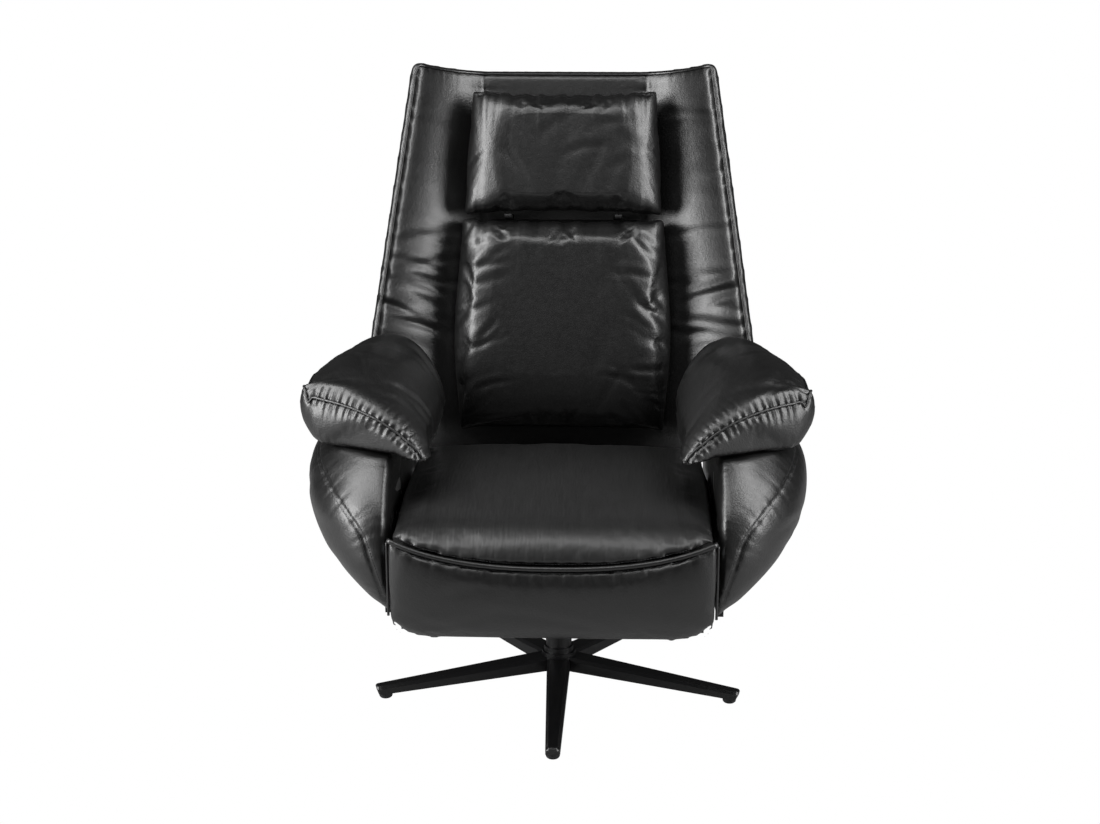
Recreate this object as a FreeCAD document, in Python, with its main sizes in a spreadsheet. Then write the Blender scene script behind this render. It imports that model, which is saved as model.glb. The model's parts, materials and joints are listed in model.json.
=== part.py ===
import FreeCAD, Part
import math
import os
import re
import Sketcher
from FreeCAD import Placement, Rotation, Vector

# Wing back swivel recliner on a flat five-leg star base, in millimetres.
# +Z is up, the sitter faces -Y, and the origin is the floor point on the swivel axis.
# Left and right are the sitter's own, so left is +X.

# Driving dimensions: name, value, meaning
DIMENSIONS = (
    ("leg_count", 5, "legs of the star"),
    ("leg_reach", 340, "swivel axis to the end of a leg"),
    ("leg_root_width", 42, "width of a leg at the hub"),
    ("leg_tip_width", 25, "width of a leg at its tip"),
    ("leg_root_depth", 25, "height of a leg's section at the hub"),
    ("leg_tip_depth", 15, "height of a leg's section at its tip"),
    ("leg_bevel", 5, "bevel along the top edges of a leg"),
    ("leg_nose", 7, "length of the rounded end of a leg"),
    ("leg_fall", 22, "drop of a leg's top from hub to tip"),
    ("hub_radius", 33, "outer radius of the cast hub"),
    ("hub_chamfer", 3, "chamfer round the hub's top"),
    ("hub_drop", 2, "hub below the underside of the legs"),
    ("glide_inset", 17, "leg end to the glide's axis"),
    ("glide_radius", 12, "radius of a glide"),
    ("glide_height", 10, "height of a glide under the leg"),
    ("glide_stem_radius", 4, "radius of a glide's stem"),
    ("glide_stem_length", 9, "stem of a glide inside the leg"),
    ("post_radius", 16, "radius of the fixed post"),
    ("bush_wall", 4, "wall of the swivel bushes"),
    ("bush_length", 34, "length of a swivel bush"),
    ("tube_wall", 3.5, "wall of the swivel tube"),
    ("running_gap", 0.05, "radial clearance of a shaft in its bore"),
    ("collar_height", 16, "height of the cover ring on the hub"),
    ("collar_wall", 3, "wall of the cover ring"),
    ("collar_foot_width", 3.5, "foot of the cover ring beyond its wall"),
    ("collar_foot_height", 6, "height of the foot of the cover ring"),
    ("tube_gap", 6, "hub top to the swivel tube's lower end"),
    ("plate_height", 232, "floor to the underside of the swivel plate"),
    ("plate_width", 170, "side of the square swivel plate"),
    ("plate_thickness", 6, "thickness of the swivel plate"),
    ("washer_thickness", 4, "thickness of the thrust washer"),
    ("thrust_gap", 0.2, "play of the plate between its two washers"),
    ("stud_radius", 8, "radius of the stud on the post"),
    ("retaining_radius", 19, "radius of the retaining washer"),
    ("nut_width", 24, "retaining nut across its flats"),
    ("nut_height", 10, "height of the retaining nut"),
    ("bolt_radius", 4, "radius of a plate bolt"),
    ("bolt_head_radius", 7, "radius of a plate bolt's head"),
    ("bolt_head_height", 5, "height of a plate bolt's head"),
    ("bolt_spacing", 120, "spacing of the plate bolts"),
    ("rail_width", 25, "width and height of the frame tubes"),
    ("rail_wall", 2, "wall of the frame tubes"),
    ("frame_width", 455, "outer width of the seat frame"),
    ("frame_front", 335, "swivel axis to the front of the side rails"),
    ("frame_rear", 224, "swivel axis to the rear of the side rails"),
    ("front_tube_reach", 247, "swivel axis to the front face of the front tube"),
    ("rear_tube_reach", 115, "swivel axis to the rear face of the rear tube"),
    ("strap_count", 6, "webbing straps under the seat cushion"),
    ("strap_width", 42, "width of a webbing strap"),
    ("strap_thickness", 2.5, "thickness of a webbing strap"),
    ("cover_thickness", 2, "thickness of the dust cover"),
    ("side_clearance", 26.5, "leg rest's arm to the inner face of a side body"),
    ("seat_side_gap", 6, "side body to the seat cushion"),
    ("seat_height", 436, "floor to the crown of the seat cushion"),
    ("seat_rear", 116, "swivel axis to the rear of the seat cushion"),
    ("seat_drop_rear", 22, "fall of the seat's top at its rear"),
    ("seat_drop_front", 32, "fall of the seat's top at the knee"),
    ("seat_edge", 10, "fall of the seat's top at its sides"),
    ("lip_drop", 5, "leg rest's hinge axis down to the underside of the seat's front lip"),
    ("strap_inset", 10, "first and last strap inside the seat's flat base"),
    ("lip_rear", 256, "swivel axis to the rear of the space under the lip"),
    ("front_board_thickness", 9, "thickness of the board under the lip"),
    ("soft_gap", 0.5, "gap between a soft piece and what carries it"),
    ("knee_y", 343, "swivel axis to the leg rest's hinge axis"),
    ("knee_drop", 64, "seat's crown down to the leg rest's hinge axis"),
    ("lug_radius", 12, "radius of the leg rest's lugs"),
    ("lug_thickness", 6, "thickness of the hinge plates"),
    ("lug_gap", 2, "side gap between two hinge plates"),
    ("pin_radius", 6, "radius of the leg rest's pins"),
    ("panel_face", 395, "swivel axis to the face of the leg rest"),
    ("panel_depth", 30, "depth of the leg rest's padding"),
    ("panel_side_gap", 3, "side body to the leg rest"),
    ("panel_low", 228, "floor to the lower edge of the leg rest"),
    ("board_thickness", 12, "thickness of the leg rest's board"),
    ("board_inset", 22, "leg rest's edge to its board"),
    ("board_low", 246, "floor to the lower edge of the leg rest's board"),
    ("board_drop", 20, "leg rest's hinge axis down to its board"),
    ("flap_axis_z", 236, "floor to the flap's hinge axis"),
    ("flap_knuckle", 5, "radius of the flap hinge's knuckles"),
    ("flap_knuckle_length", 22, "length of a flap hinge's knuckle"),
    ("flap_knuckle_gap", 0.6, "gap between two knuckles of a hinge"),
    ("flap_hinge_spacing", 260, "spacing of the flap's two hinges"),
    ("flap_pin_radius", 2.5, "radius of the flap hinge's pin"),
    ("flap_leaf", 2, "thickness of the flap hinge's leaves"),
    ("flap_leaf_length", 24, "length of the flap hinge's leaves"),
    ("flap_half_width", 188, "half width of the flap"),
    ("flap_clearance", 18, "leg rest's hinge axis down to the folded flap"),
    ("flap_offset", 10, "flap's hinge axis to the flap"),
    ("flap_board_thickness", 6, "thickness of the flap's board"),
    ("flap_pad_depth", 19, "depth of the flap's padding"),
    ("side_outer", 424, "centre plane to the widest point of a side body"),
    ("side_top", 500, "floor to the top of a side body"),
    ("side_low", 240, "floor to the bottom of a side body"),
    ("side_widest", 432, "floor to the widest level of a side body"),
    ("side_front", 348, "swivel axis to the front of a side body"),
    ("side_rear", 235, "swivel axis to the rear of a side body"),
    ("side_panel_thickness", 12, "thickness of a side's plywood panel"),
    ("outrigger_depth", 30, "depth of a side's outriggers"),
    ("outrigger_height", 23, "height of a side's outriggers"),
    ("front_outrigger", 210, "swivel axis to the front of the front outriggers"),
    ("rear_outrigger", 60, "swivel axis to the front of the rear outriggers"),
    ("arm_outer", 424, "centre plane to the outer edge of an arm pad"),
    ("arm_inner", 190, "centre plane to the inner edge of an arm pad"),
    ("arm_depth", 92, "height of an arm pad at its outer edge"),
    ("arm_crown", 26, "crown of an arm pad above its outer edge"),
    ("arm_droop", 15, "fall of an arm pad's inner edge below the side body's top"),
    ("hinge_y", 200, "swivel axis to the back's hinge axis"),
    ("hinge_z", 310, "floor to the back's hinge axis"),
    ("back_lean", 14, "lean of the back from upright, in degrees"),
    ("shoulder_radius", 165, "round shoulder of a side body about the back's hinge"),
    ("wing_gap", 6, "gap between a side body and the back shell"),
    ("shell_top", 772, "hinge axis to the shell's top along the back"),
    ("shell_low", 62, "hinge axis to the shell's lowest point"),
    ("shell_half_top", 279, "half width of the shell at its top"),
    ("shell_half_arm", 354, "half width of the shell above the arms"),
    ("shell_arm_level", 257, "hinge axis to the level of the arms along the back"),
    ("shell_front", 40, "hinge plane to the shell's front face"),
    ("shell_rear", 14, "hinge plane to the shell's rear face"),
    ("wing_depth", 148, "hinge plane to the front edge of a wing"),
    ("wing_thickness", 34, "thickness of a wing at its edge"),
    ("shell_flat", 156, "half width of the shell's flat middle"),
    ("tongue_half_width", 194, "half width of the shell between the hinges"),
    ("hinge_lug_radius", 18, "radius of the back's hinge lugs"),
    ("hinge_pin_radius", 8, "radius of the back's hinge pins"),
    ("upright_length", 420, "hinge axis to the top of the back's uprights"),
    ("upright_depth", 26, "depth of the back's uprights"),
    ("cross_bar_radius", 8, "radius of the back's cross bars"),
    ("lumbar_low", 98, "hinge axis to the bottom of the lumbar cushion"),
    ("lumbar_top", 492, "hinge axis to the top of the lumbar cushion"),
    ("lumbar_half_width", 195, "half width of the lumbar cushion"),
    ("cushion_face", 128, "hinge plane to the cushions' crown"),
    ("head_top", 729, "hinge axis to the top of the head cushion"),
    ("head_half_width", 178, "half width of the head cushion"),
    ("crease", 11, "gap between the two back cushions"),
    ("head_axis_depth", 95, "hinge plane to the head cushion's axis"),
    ("head_pin_radius", 2.5, "radius of the head cushion's pins"),
    ("head_bar_height", 8, "height of the head cushion's hinge bars"),
    ("head_bar_width", 6, "width of the head cushion's hinge bars"),
    ("head_bar_spacing", 190, "spacing of the head cushion's hinges"),
    ("head_board_thickness", 6, "thickness of the head cushion's board"),
    ("head_board_gap", 3.5, "shell to the head cushion's board"),
)

# Sizes that follow from others: name, formula, meaning
DERIVED = (
    ("knee_z", "seat_height - knee_drop", "floor to the leg rest's hinge axis"),
    ("lip_height", "knee_z - lip_drop", "floor to the underside of the seat's front lip"),
    ("board_top", "knee_z - board_drop", "floor to the upper edge of the leg rest's board"),
    ("flap_length", "knee_z - flap_clearance - flap_axis_z - flap_offset", "length of the flap"),
    (
        "side_inner",
        "frame_width / 2 + 2 * lug_thickness + lug_gap + side_clearance",
        "centre plane to the inner face of a side body",
    ),
    ("seat_half_width", "side_inner - seat_side_gap", "half width of the seat cushion"),
    ("panel_half_width", "side_inner - panel_side_gap", "half width of the leg rest"),
    ("board_half_width", "panel_half_width - board_inset", "half width of the leg rest's board"),
)
NAMES = {name for name, value, meaning in DIMENSIONS + DERIVED}
SIDES = (("left", 1), ("right", -1))
X_AXIS = Vector(1, 0, 0)
Z_AXIS = Vector(0, 0, 1)

doc = FreeCAD.newDocument("star_base_swivel_recliner")
sheet = doc.addObject("Spreadsheet::Sheet", "dims")
for row, (name, value, meaning) in enumerate(DIMENSIONS + DERIVED, start=1):
    sheet.set("A%d" % row, meaning)
    sheet.set("B%d" % row, "=" + value if isinstance(value, str) else str(value))
    sheet.setAlias("B%d" % row, name)
doc.recompute()

sub_parts = []


def dim(name):
    """Read one dimension from the sheet."""
    return float(sheet.get(name))


def formula(text):
    """Turn a formula in dimension names into one that reads the sheet."""
    return re.sub(
        r"[a-z_]+",
        lambda word: "dims." + word.group() if word.group() in NAMES else word.group(),
        text,
    )


def bind(thing, **formulas):
    """Bind properties of an object to formulas in dimension names."""
    for prop, text in formulas.items():
        thing.setExpression(prop, formula(text))
    return thing


def place(thing, x="0", y="0", z="0"):
    """Bind an object's place to formulas."""
    for axis, text in (("x", x), ("y", y), ("z", z)):
        thing.setExpression("Placement.Base." + axis, formula(text))
    return thing


def box(name, x, y, z, at):
    """A box of size x, y, z with its low corner at a place."""
    return place(bind(doc.addObject("Part::Box", name), Length=x, Width=y, Height=z), *at)


def cylinder(name, radius, length, at, along=Z_AXIS):
    """A cylinder that starts at a place and runs along an axis."""
    made = doc.addObject("Part::Cylinder", name)
    made.Placement = Placement(Vector(), Rotation(Z_AXIS, along))
    return place(bind(made, Radius=radius, Height=length), *at)


def fuse(name, pieces):
    """One solid from several that overlap."""
    made = doc.addObject("Part::MultiFuse", name)
    made.Shapes = list(pieces)
    made.Refine = True
    return made


def group(name, pieces):
    """Several separate solids that share one node."""
    made = doc.addObject("Part::Compound", name)
    made.Links = list(pieces)
    return made


def cut(name, base, tools):
    """A solid less one or more others."""
    made = doc.addObject("Part::Cut", name)
    made.Base = base
    made.Tool = tools[0] if len(tools) == 1 else group(name + "_tools", tools)
    return made


def sub_part(thing, label, placement=None):
    """Name a finished sub-part and, where it is given, put it in its place."""
    thing.Label = label
    if placement is not None:
        thing.Placement = placement
    sub_parts.append(thing)
    return thing


def feature(name, shape):
    """A shape worked out from the sheet, as an object of the document."""
    made = doc.addObject("Part::Feature", name)
    made.Shape = shape
    return made


def arc(start, middle, end):
    return Part.Arc(Vector(*start), Vector(*middle), Vector(*end)).toShape()


def line(start, end):
    return Part.LineSegment(Vector(*start), Vector(*end)).toShape()


def loft(sections, ruled=False):
    """A closed solid through sections, each a closed list of edges."""
    return Part.makeLoft([Part.Wire(edges) for edges in sections], True, ruled)


def capped_loft(sections):
    """Smooth through the inner sections, with a short straight cap at each end."""
    caps = [loft(sections[:2], True), loft(sections[-2:], True)]
    return loft(sections[1:-1]).multiFuse(caps).removeSplitter()


def side_x(sign, near, width):
    """Low X of a piece whose near face and width are given from the centre plane."""
    return near if sign > 0 else "-(" + near + ") - (" + width + ")"


def origin_plane(body, role):
    return next(plane for plane in body.Origin.OriginFeatures if plane.Role == role)


def outline_sketch(body, name, role, points, offset=None):
    """A closed outline of straight lines on an origin plane, each corner bound to two formulas."""
    sketch = body.newObject("Sketcher::SketchObject", name)
    sketch.AttachmentSupport = [(origin_plane(body, role), "")]
    sketch.MapMode = "FlatFace"
    if offset is not None:
        sketch.setExpression("AttachmentOffset.Base.z", formula(offset))
    count = len(points)
    start = [
        Vector(math.cos(turn), math.sin(turn), 0) * 10 for turn in (6.28 * k / count
        for k in range(count))
    ]
    for k in range(count):
        sketch.addGeometry(Part.LineSegment(start[k], start[(k + 1) % count]))
    for k in range(count):
        sketch.addConstraint(Sketcher.Constraint("Coincident", k, 2, (k + 1) % count, 1))
    for k, (across, up) in enumerate(points):
        for kind, text in (("DistanceX", across), ("DistanceY", up)):
            index = sketch.addConstraint(Sketcher.Constraint(kind, -1, 1, k, 1, 1.0))
            sketch.setExpression("Constraints[%d]" % index, formula(text))
    return sketch


# Star base: cast hub with five tapered legs, glides in the leg tips
hub_bottom = "(glide_height + leg_fall - (leg_root_depth - leg_tip_depth) - hub_drop)"
hub_top = "(glide_height + leg_fall + leg_tip_depth + hub_drop / 2)"
leg_start = "(post_radius + hub_radius) / 2"


def make_star_base():
    body = doc.addObject("PartDesign::Body", "StarBase")
    stations = (
        (leg_start, "leg_root_width", "leg_root_depth", "leg_fall"),
        ("leg_reach - leg_nose", "leg_tip_width", "leg_tip_depth", "0"),
        ("leg_reach - leg_nose / 3", "leg_tip_width * 0.9", "leg_tip_depth * 0.9", "0"),
        ("leg_reach", "leg_tip_width * 0.66", "leg_tip_depth * 0.6", "0"),
    )
    sections = []
    for k, (out, width, depth, rise) in enumerate(stations):
        top = "(glide_height + leg_tip_depth + " + rise + ")"
        low = "(" + top + " - " + depth + ")"
        half = "(" + width + ") / 2"
        points = (
            ("-" + half, low),
            (half, low),
            (half, top + " - leg_bevel"),
            (half + " - leg_bevel", top),
            ("-" + half + " + leg_bevel", top),
            ("-" + half, top + " - leg_bevel"),
        )
        if k == len(stations) - 1:
            points = (
                ("-" + half, low + " + leg_tip_depth * 0.3"),
                (half, low + " + leg_tip_depth * 0.3"),
                (half, top + " - leg_bevel"),
                (half + " - leg_bevel / 2", top + " - leg_bevel / 3"),
                ("-" + half + " + leg_bevel / 2", top + " - leg_bevel / 3"),
                ("-" + half, top + " - leg_bevel"),
            )
        sections.append(outline_sketch(body, "LegSection%d" % k, "XZ_Plane", points, out))
    leg = body.newObject("PartDesign::AdditiveLoft", "Leg")
    leg.Profile = sections[0]
    leg.Sections = sections[1:]
    leg.Ruled = True
    doc.recompute()
    star = body.newObject("PartDesign::PolarPattern", "Star")
    star.Originals = [leg]
    star.Axis = (next(f for f in body.Origin.OriginFeatures if f.Role == "Z_Axis"), [""])
    star.Angle = 360
    star.setExpression("Occurrences", formula("leg_count"))
    body.Tip = star
    doc.recompute()
    profile = outline_sketch(
        body,
        "HubProfile",
        "XZ_Plane",
        (
            ("post_radius + running_gap", hub_bottom),
            ("hub_radius - hub_chamfer", hub_bottom),
            ("hub_radius", hub_bottom + " + hub_chamfer"),
            ("hub_radius", hub_top + " - hub_chamfer"),
            ("hub_radius - hub_chamfer", hub_top),
            ("post_radius + running_gap", hub_top),
        ),
    )
    hub = body.newObject("PartDesign::Revolution", "Hub")
    hub.Profile = profile
    hub.ReferenceAxis = (profile, ["V_Axis"])
    hub.Angle = 360
    body.Tip = hub
    doc.recompute()
    holes = polar_copies(
        "StemHole",
        "glide_stem_radius + running_gap",
        "glide_stem_length + 1",
        "glide_height - 1",
    )
    return cut("star_base_drilled", body, holes)


def polar_copies(name, radius, length, z):
    """Upright cylinders, one on each leg's glide axis."""
    copies = []
    for k in range(int(dim("leg_count"))):
        turn = "(%d * 360 / leg_count - 90)" % k
        out = "(leg_reach - glide_inset)"
        at = (out + " * cos(" + turn + ")", out + " * sin(" + turn + ")", z)
        copies.append(cylinder("%s%d" % (name, k), radius, length, at))
    return copies


def make_glides():
    """Domed glides: a low dome, a straight rim and a stem that sits in the leg."""
    radius, height = dim("glide_radius"), dim("glide_height")
    stem, length = dim("glide_stem_radius"), dim("glide_stem_length")
    flat, rim = radius * 0.55, height * 0.45
    edges = [
        line((0, 0, 0), (flat, 0, 0)),
        arc((flat, 0, 0), (radius * 0.88, 0, rim * 0.35), (radius, 0, rim)),
        line((radius, 0, rim), (radius, 0, height)),
        line((radius, 0, height), (stem, 0, height)),
        line((stem, 0, height), (stem, 0, height + length)),
        line((stem, 0, height + length), (0, 0, height + length)),
        line((0, 0, height + length), (0, 0, 0)),
    ]
    glide = Part.Face(Part.Wire(edges)).revolve(Vector(), Z_AXIS, 360)
    out = dim("leg_reach") - dim("glide_inset")
    copies = []
    for k in range(int(dim("leg_count"))):
        copy = glide.copy()
        copy.translate(Vector(0, -out, 0))
        copy.rotate(Vector(), Z_AXIS, k * 360 / dim("leg_count"))
        copies.append(copy)
    return feature("Glides", Part.makeCompound(copies))


sub_part(make_star_base(), "star_base")
sub_part(make_glides(), "glides")

# Column: fixed post with a stud, swivel tube on two bushes, washers and nut
post_top = "(plate_height - washer_thickness)"
tube_inner = "(post_radius + running_gap + bush_wall)"
tube_radius = "(" + tube_inner + " + tube_wall)"
tube_low = "(" + hub_top + " + tube_gap)"
plate_top = "(plate_height + plate_thickness)"


def ring(name, inner, outer, low, height):
    """A tube about the swivel axis."""
    core = cylinder(name + "_bore", inner, height + " + 2", ("0", "0", low + " - 1"))
    return cut(name, cylinder(name + "_outside", outer, height, ("0", "0", low)), [core])


post = cylinder("post_shank", "post_radius", post_top + " - " + hub_bottom, ("0", "0", hub_bottom))
stud_height = "plate_thickness + thrust_gap + washer_thickness + nut_height + 4 + washer_thickness"
stud = cylinder("post_stud", "stud_radius", stud_height, ("0", "0", post_top))
sub_part(fuse("post", [post, stud]), "centre_post")

foot_radius = tube_radius + " + collar_wall + 0.5 + collar_foot_width"
collar_wall_part = ring(
    "collar_wall_ring",
    tube_radius + " + 0.5",
    tube_radius + " + collar_wall + 0.5",
    hub_top,
    "collar_height",
)
collar_foot_part = ring(
    "collar_foot_ring",
    tube_radius + " + 0.5",
    foot_radius,
    hub_top,
    "collar_foot_height",
)
sub_part(fuse("collar", [collar_wall_part, collar_foot_part]), "hub_collar")

thrust = ring(
    "thrust",
    "stud_radius + running_gap",
    "post_radius",
    post_top,
    "washer_thickness - thrust_gap / 2",
)
sub_part(thrust, "thrust_washer")
washer_low = "(" + plate_top + " + thrust_gap / 2)"
sub_part(
    ring("retaining", "stud_radius + running_gap", "retaining_radius", washer_low, "washer_thickness"),
    "retaining_washer",
)


def make_nut():
    """Hexagon nut on the post's stud."""
    across = dim("nut_width") / math.sqrt(3)
    corners = [
        Vector(across * math.cos(k * math.pi / 3), across * math.sin(k * math.pi / 3), 0)
        for k in range(7)
    ]
    nut = Part.Face(Part.makePolygon(corners)).extrude(Z_AXIS * dim("nut_height"))
    bore = Part.makeCylinder(dim("stud_radius") + dim("running_gap"), dim("nut_height"))
    nut = nut.cut(bore)
    low = dim("plate_height") + dim("plate_thickness") + dim("thrust_gap") / 2 + dim("washer_thickness")
    made = feature("Nut", nut)
    made.Placement = Placement(Vector(0, 0, low), Rotation())
    return made


sub_part(make_nut(), "retaining_nut")
sub_part(ring("tube", tube_inner, tube_radius, tube_low, "plate_height - " + tube_low), "swivel_tube")
for bush, low in (("lower_bush", tube_low), ("upper_bush", post_top + " - bush_length")):
    inner = "post_radius + running_gap"
    sub_part(ring(bush + "_ring", inner, tube_inner + " - running_gap", low, "bush_length"), bush)

# Swivel plate bolted to the two cross rails
plate = box(
    "plate_blank",
    "plate_width",
    "plate_width",
    "plate_thickness",
    ("-plate_width / 2", "-plate_width / 2", "plate_height"),
)
plate_holes = [
    cylinder("plate_bore", "stud_radius + 0.5", "plate_thickness + 2", ("0", "0", "plate_height - 1"))
]
bolt_low = "plate_height - bolt_head_height"
bolt_solids = []
rail_holes = {-1: [], 1: []}
for along in (-1, 1):
    for across in (-1, 1):
        at = ("%d * bolt_spacing / 2" % across, "%d * bolt_spacing / 2" % along)
        tag = "bolt_%d_%d" % (along + 1, across + 1)
        hole_radius = "bolt_radius + running_gap"
        plate_holes.append(
            cylinder(tag + "_hole", hole_radius, "plate_thickness + 2", at + ("plate_height - 1",))
        )
        rail_holes[along].append(
            cylinder(tag + "_rail_hole", hole_radius, "rail_width + 2", at + (plate_top + " - 1",))
        )
        shank = cylinder(
            tag + "_shank",
            "bolt_radius",
            "plate_thickness + rail_width",
            at + ("plate_height",),
        )
        head = cylinder(tag + "_head", "bolt_head_radius", "bolt_head_height", at + (bolt_low,))
        bolt_solids.append(fuse(tag, [shank, head]))
sub_part(cut("plate", plate, plate_holes), "swivel_plate")
sub_part(group("bolts", bolt_solids), "plate_bolts")

# Seat frame: square tubes welded into a ladder
rail_low = plate_top
rail_top = "(" + plate_top + " + rail_width)"
rail_inner = "(frame_width / 2 - rail_width)"


def tube_along(name, axis, length, at):
    """A square tube along X or Y, open at both ends."""
    bore = "rail_width - 2 * rail_wall"
    if axis == "x":
        outside = box(name + "_outside", length, "rail_width", "rail_width", at)
        inside_at = (at[0] + " - 1", at[1] + " + rail_wall", at[2] + " + rail_wall")
        inside = box(name + "_inside", length + " + 2", bore, bore, inside_at)
    else:
        outside = box(name + "_outside", "rail_width", length, "rail_width", at)
        inside_at = (at[0] + " + rail_wall", at[1] + " - 1", at[2] + " + rail_wall")
        inside = box(name + "_inside", bore, length + " + 2", bore, inside_at)
    return cut(name, outside, [inside])


for side, sign in SIDES:
    at = (side_x(sign, rail_inner, "rail_width"), "-frame_front", rail_low)
    sub_part(tube_along("rail_" + side, "y", "(frame_front + frame_rear)", at), "side_rail_" + side)
cross_length = "(2 * " + rail_inner + ")"
for label, y in (
    ("front_cross_tube", "-front_tube_reach"),
    ("rear_cross_tube", "rear_tube_reach - rail_width"),
):
    sub_part(tube_along(label + "_tube", "x", cross_length, ("-" + rail_inner, y, rail_low)), label)
for label, along in (("cross_rail_front", -1), ("cross_rail_rear", 1)):
    y = "%d * bolt_spacing / 2 - rail_width / 2" % along
    blank = tube_along(label + "_tube", "x", cross_length, ("-" + rail_inner, y, rail_low))
    sub_part(cut(label + "_drilled", blank, rail_holes[along]), label)

# Webbing straps across the rails, and the dust cover under them
straps = []
for k in range(int(dim("strap_count"))):
    pitch = "((lip_rear + seat_rear - strap_width - 2 * strap_inset) / (strap_count - 1))"
    at = ("-frame_width / 2", "-lip_rear + strap_inset + %d * %s" % (k, pitch), rail_top)
    straps.append(box("strap%d" % k, "frame_width", "strap_width", "strap_thickness", at))
sub_part(group("straps", straps), "seat_webbing")
cover_span = "front_tube_reach + rear_tube_reach"
cover_blank = box(
    "cover_blank",
    "frame_width",
    cover_span,
    "cover_thickness",
    ("-frame_width / 2", "-front_tube_reach", rail_low + " - cover_thickness"),
)
cover_hole = box(
    "cover_hole",
    "plate_width + 2",
    "plate_width + 2",
    "cover_thickness + 2",
    ("-plate_width / 2 - 1", "-plate_width / 2 - 1", rail_low + " - cover_thickness - 1"),
)
sub_part(cut("cover", cover_blank, [cover_hole]), "dust_cover")

# Seat cushion: crowned top, soft edges, a front lip over the folded leg rest
seat_base = dim("plate_height") + dim("plate_thickness") + dim("rail_width") + dim("strap_thickness") + dim(
    "soft_gap"
)


def crowned_section(along, half, low, edge_top, crown_top, round_over):
    """A cushion's cross section at one Y: flat base, bulged sides, rounded shoulders, crowned top."""
    shoulder = half - round_over
    middle = low + (edge_top - low) * 0.5
    side_top = edge_top - round_over * 0.8
    return [
        line((-half + 6, along, low), (half - 6, along, low)),
        arc((half - 6, along, low), (half, along, middle), (half - 2, along, side_top)),
        arc(
            (half - 2, along, side_top),
            (half - round_over * 0.3, along, edge_top - round_over * 0.25),
            (shoulder, along, edge_top),
        ),
        arc((shoulder, along, edge_top), (0, along, crown_top), (-shoulder, along, edge_top)),
        arc(
            (-shoulder, along, edge_top),
            (-half + round_over * 0.3, along, edge_top - round_over * 0.25),
            (-half + 2, along, side_top),
        ),
        arc((-half + 2, along, side_top), (-half, along, middle), (-half + 6, along, low)),
    ]


def make_seat_cushion():
    half, crown, edge = dim("seat_half_width"), dim("seat_height"), dim("seat_edge")
    front, rear = -dim("knee_y") + 2, dim("seat_rear")
    length = rear - front
    stations = (
        (0.0, dim("seat_drop_front")),
        (0.16, dim("seat_drop_front") * 0.42),
        (0.38, dim("seat_drop_front") * 0.08),
        (0.66, 0.0),
        (0.9, dim("seat_drop_rear") * 0.5),
        (1.0, dim("seat_drop_rear")),
    )
    sections = []
    for share, fall in stations:
        top = crown - fall
        sections.append(crowned_section(front + share * length, half, seat_base, top - edge, top, 22))
    cushion = feature("SeatCushionForm", loft(sections))
    under_lip = box(
        "under_lip",
        "2 * seat_half_width + 2",
        "knee_y - lip_rear + 2",
        "lip_height",
        ("-seat_half_width - 1", "-knee_y - 2", "0"),
    )
    pockets = []
    for side, sign in SIDES:
        near = side_x(sign, "frame_width / 2 - 3", "2 * lug_thickness + lug_gap + 6")
        at = (near, "-knee_y - 3", "knee_z - lug_radius - 6")
        pockets.append(
            box(
                "lug_pocket_" + side,
                "2 * lug_thickness + lug_gap + 6",
                "lug_radius + 6",
                "2 * lug_radius + 8",
                at,
            )
        )
    return cut("seat_cushion_trimmed", cushion, [under_lip] + pockets)


sub_part(make_seat_cushion(), "seat_cushion")
sub_part(
    box(
        "front_board",
        "frame_width - 0.4",
        "knee_y - lip_rear - 10",
        "front_board_thickness",
        ("-frame_width / 2 + 0.2", "-knee_y + 8", "lip_height - soft_gap - front_board_thickness"),
    ),
    "seat_front_board",
)


def make_knee_roll():
    """Soft roll over the leg rest's hinge: a quarter round across the seat."""
    half = dim("seat_half_width")
    rear, low = -dim("knee_y") + 1.7, dim("knee_z") + 0.5
    top = dim("seat_height") - dim("seat_drop_front") - 3
    front = -dim("panel_face") + 3
    sections = []
    for across, shrink in ((-half + 2, 12), (-half + 26, 2), (0, 0), (half - 26, 2), (half - 2, 12)):
        high = top - shrink * 1.2 - (dim("seat_edge") if abs(across) > 1 else 0)
        face = front + shrink
        sections.append(
            [
                line((across, rear, low), (across, rear, high)),
                arc(
                    (across, rear, high),
                    (across, face + (rear - face) * 0.34, low + (high - low) * 0.74),
                    (across, face, low),
                ),
                line((across, face, low), (across, rear, low)),
            ]
        )
    roll = feature("KneeRollForm", loft(sections))
    pockets = []
    for side, sign in SIDES:
        near = side_x(sign, "frame_width / 2 - 3", "2 * lug_thickness + lug_gap + 6")
        at = (near, "-knee_y - lug_radius - 4", "knee_z - 4")
        pockets.append(
            box(
                "roll_pocket_" + side,
                "2 * lug_thickness + lug_gap + 6",
                "lug_radius + 6",
                "lug_radius + 8",
                at,
            )
        )
    return cut("knee_roll_trimmed", roll, pockets)


sub_part(make_knee_roll(), "knee_roll")

# Leg rest: hinge plates on the rails, arms, board, padding
bracket_near = "(frame_width / 2)"
arm_near = "(" + bracket_near + " + lug_thickness + lug_gap)"


def lug_plate(name, sign, near, lug, axis_y, axis_z, bore, web):
    """A hinge plate: a round lug about an axis along X, and a flat web, one piece."""
    x = side_x(sign, near, "lug_thickness")
    boss = cylinder(name + "_boss", lug, "lug_thickness", (x, axis_y, axis_z), X_AXIS)
    blade = box(name + "_blade", "lug_thickness", web[0], web[1], (x, web[2], web[3]))
    hole_x = x + " - 1"
    hole = cylinder(name + "_hole", bore, "lug_thickness + 2", (hole_x, axis_y, axis_z), X_AXIS)
    return cut(name, fuse(name + "_blank", [boss, blade]), [hole])


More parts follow.
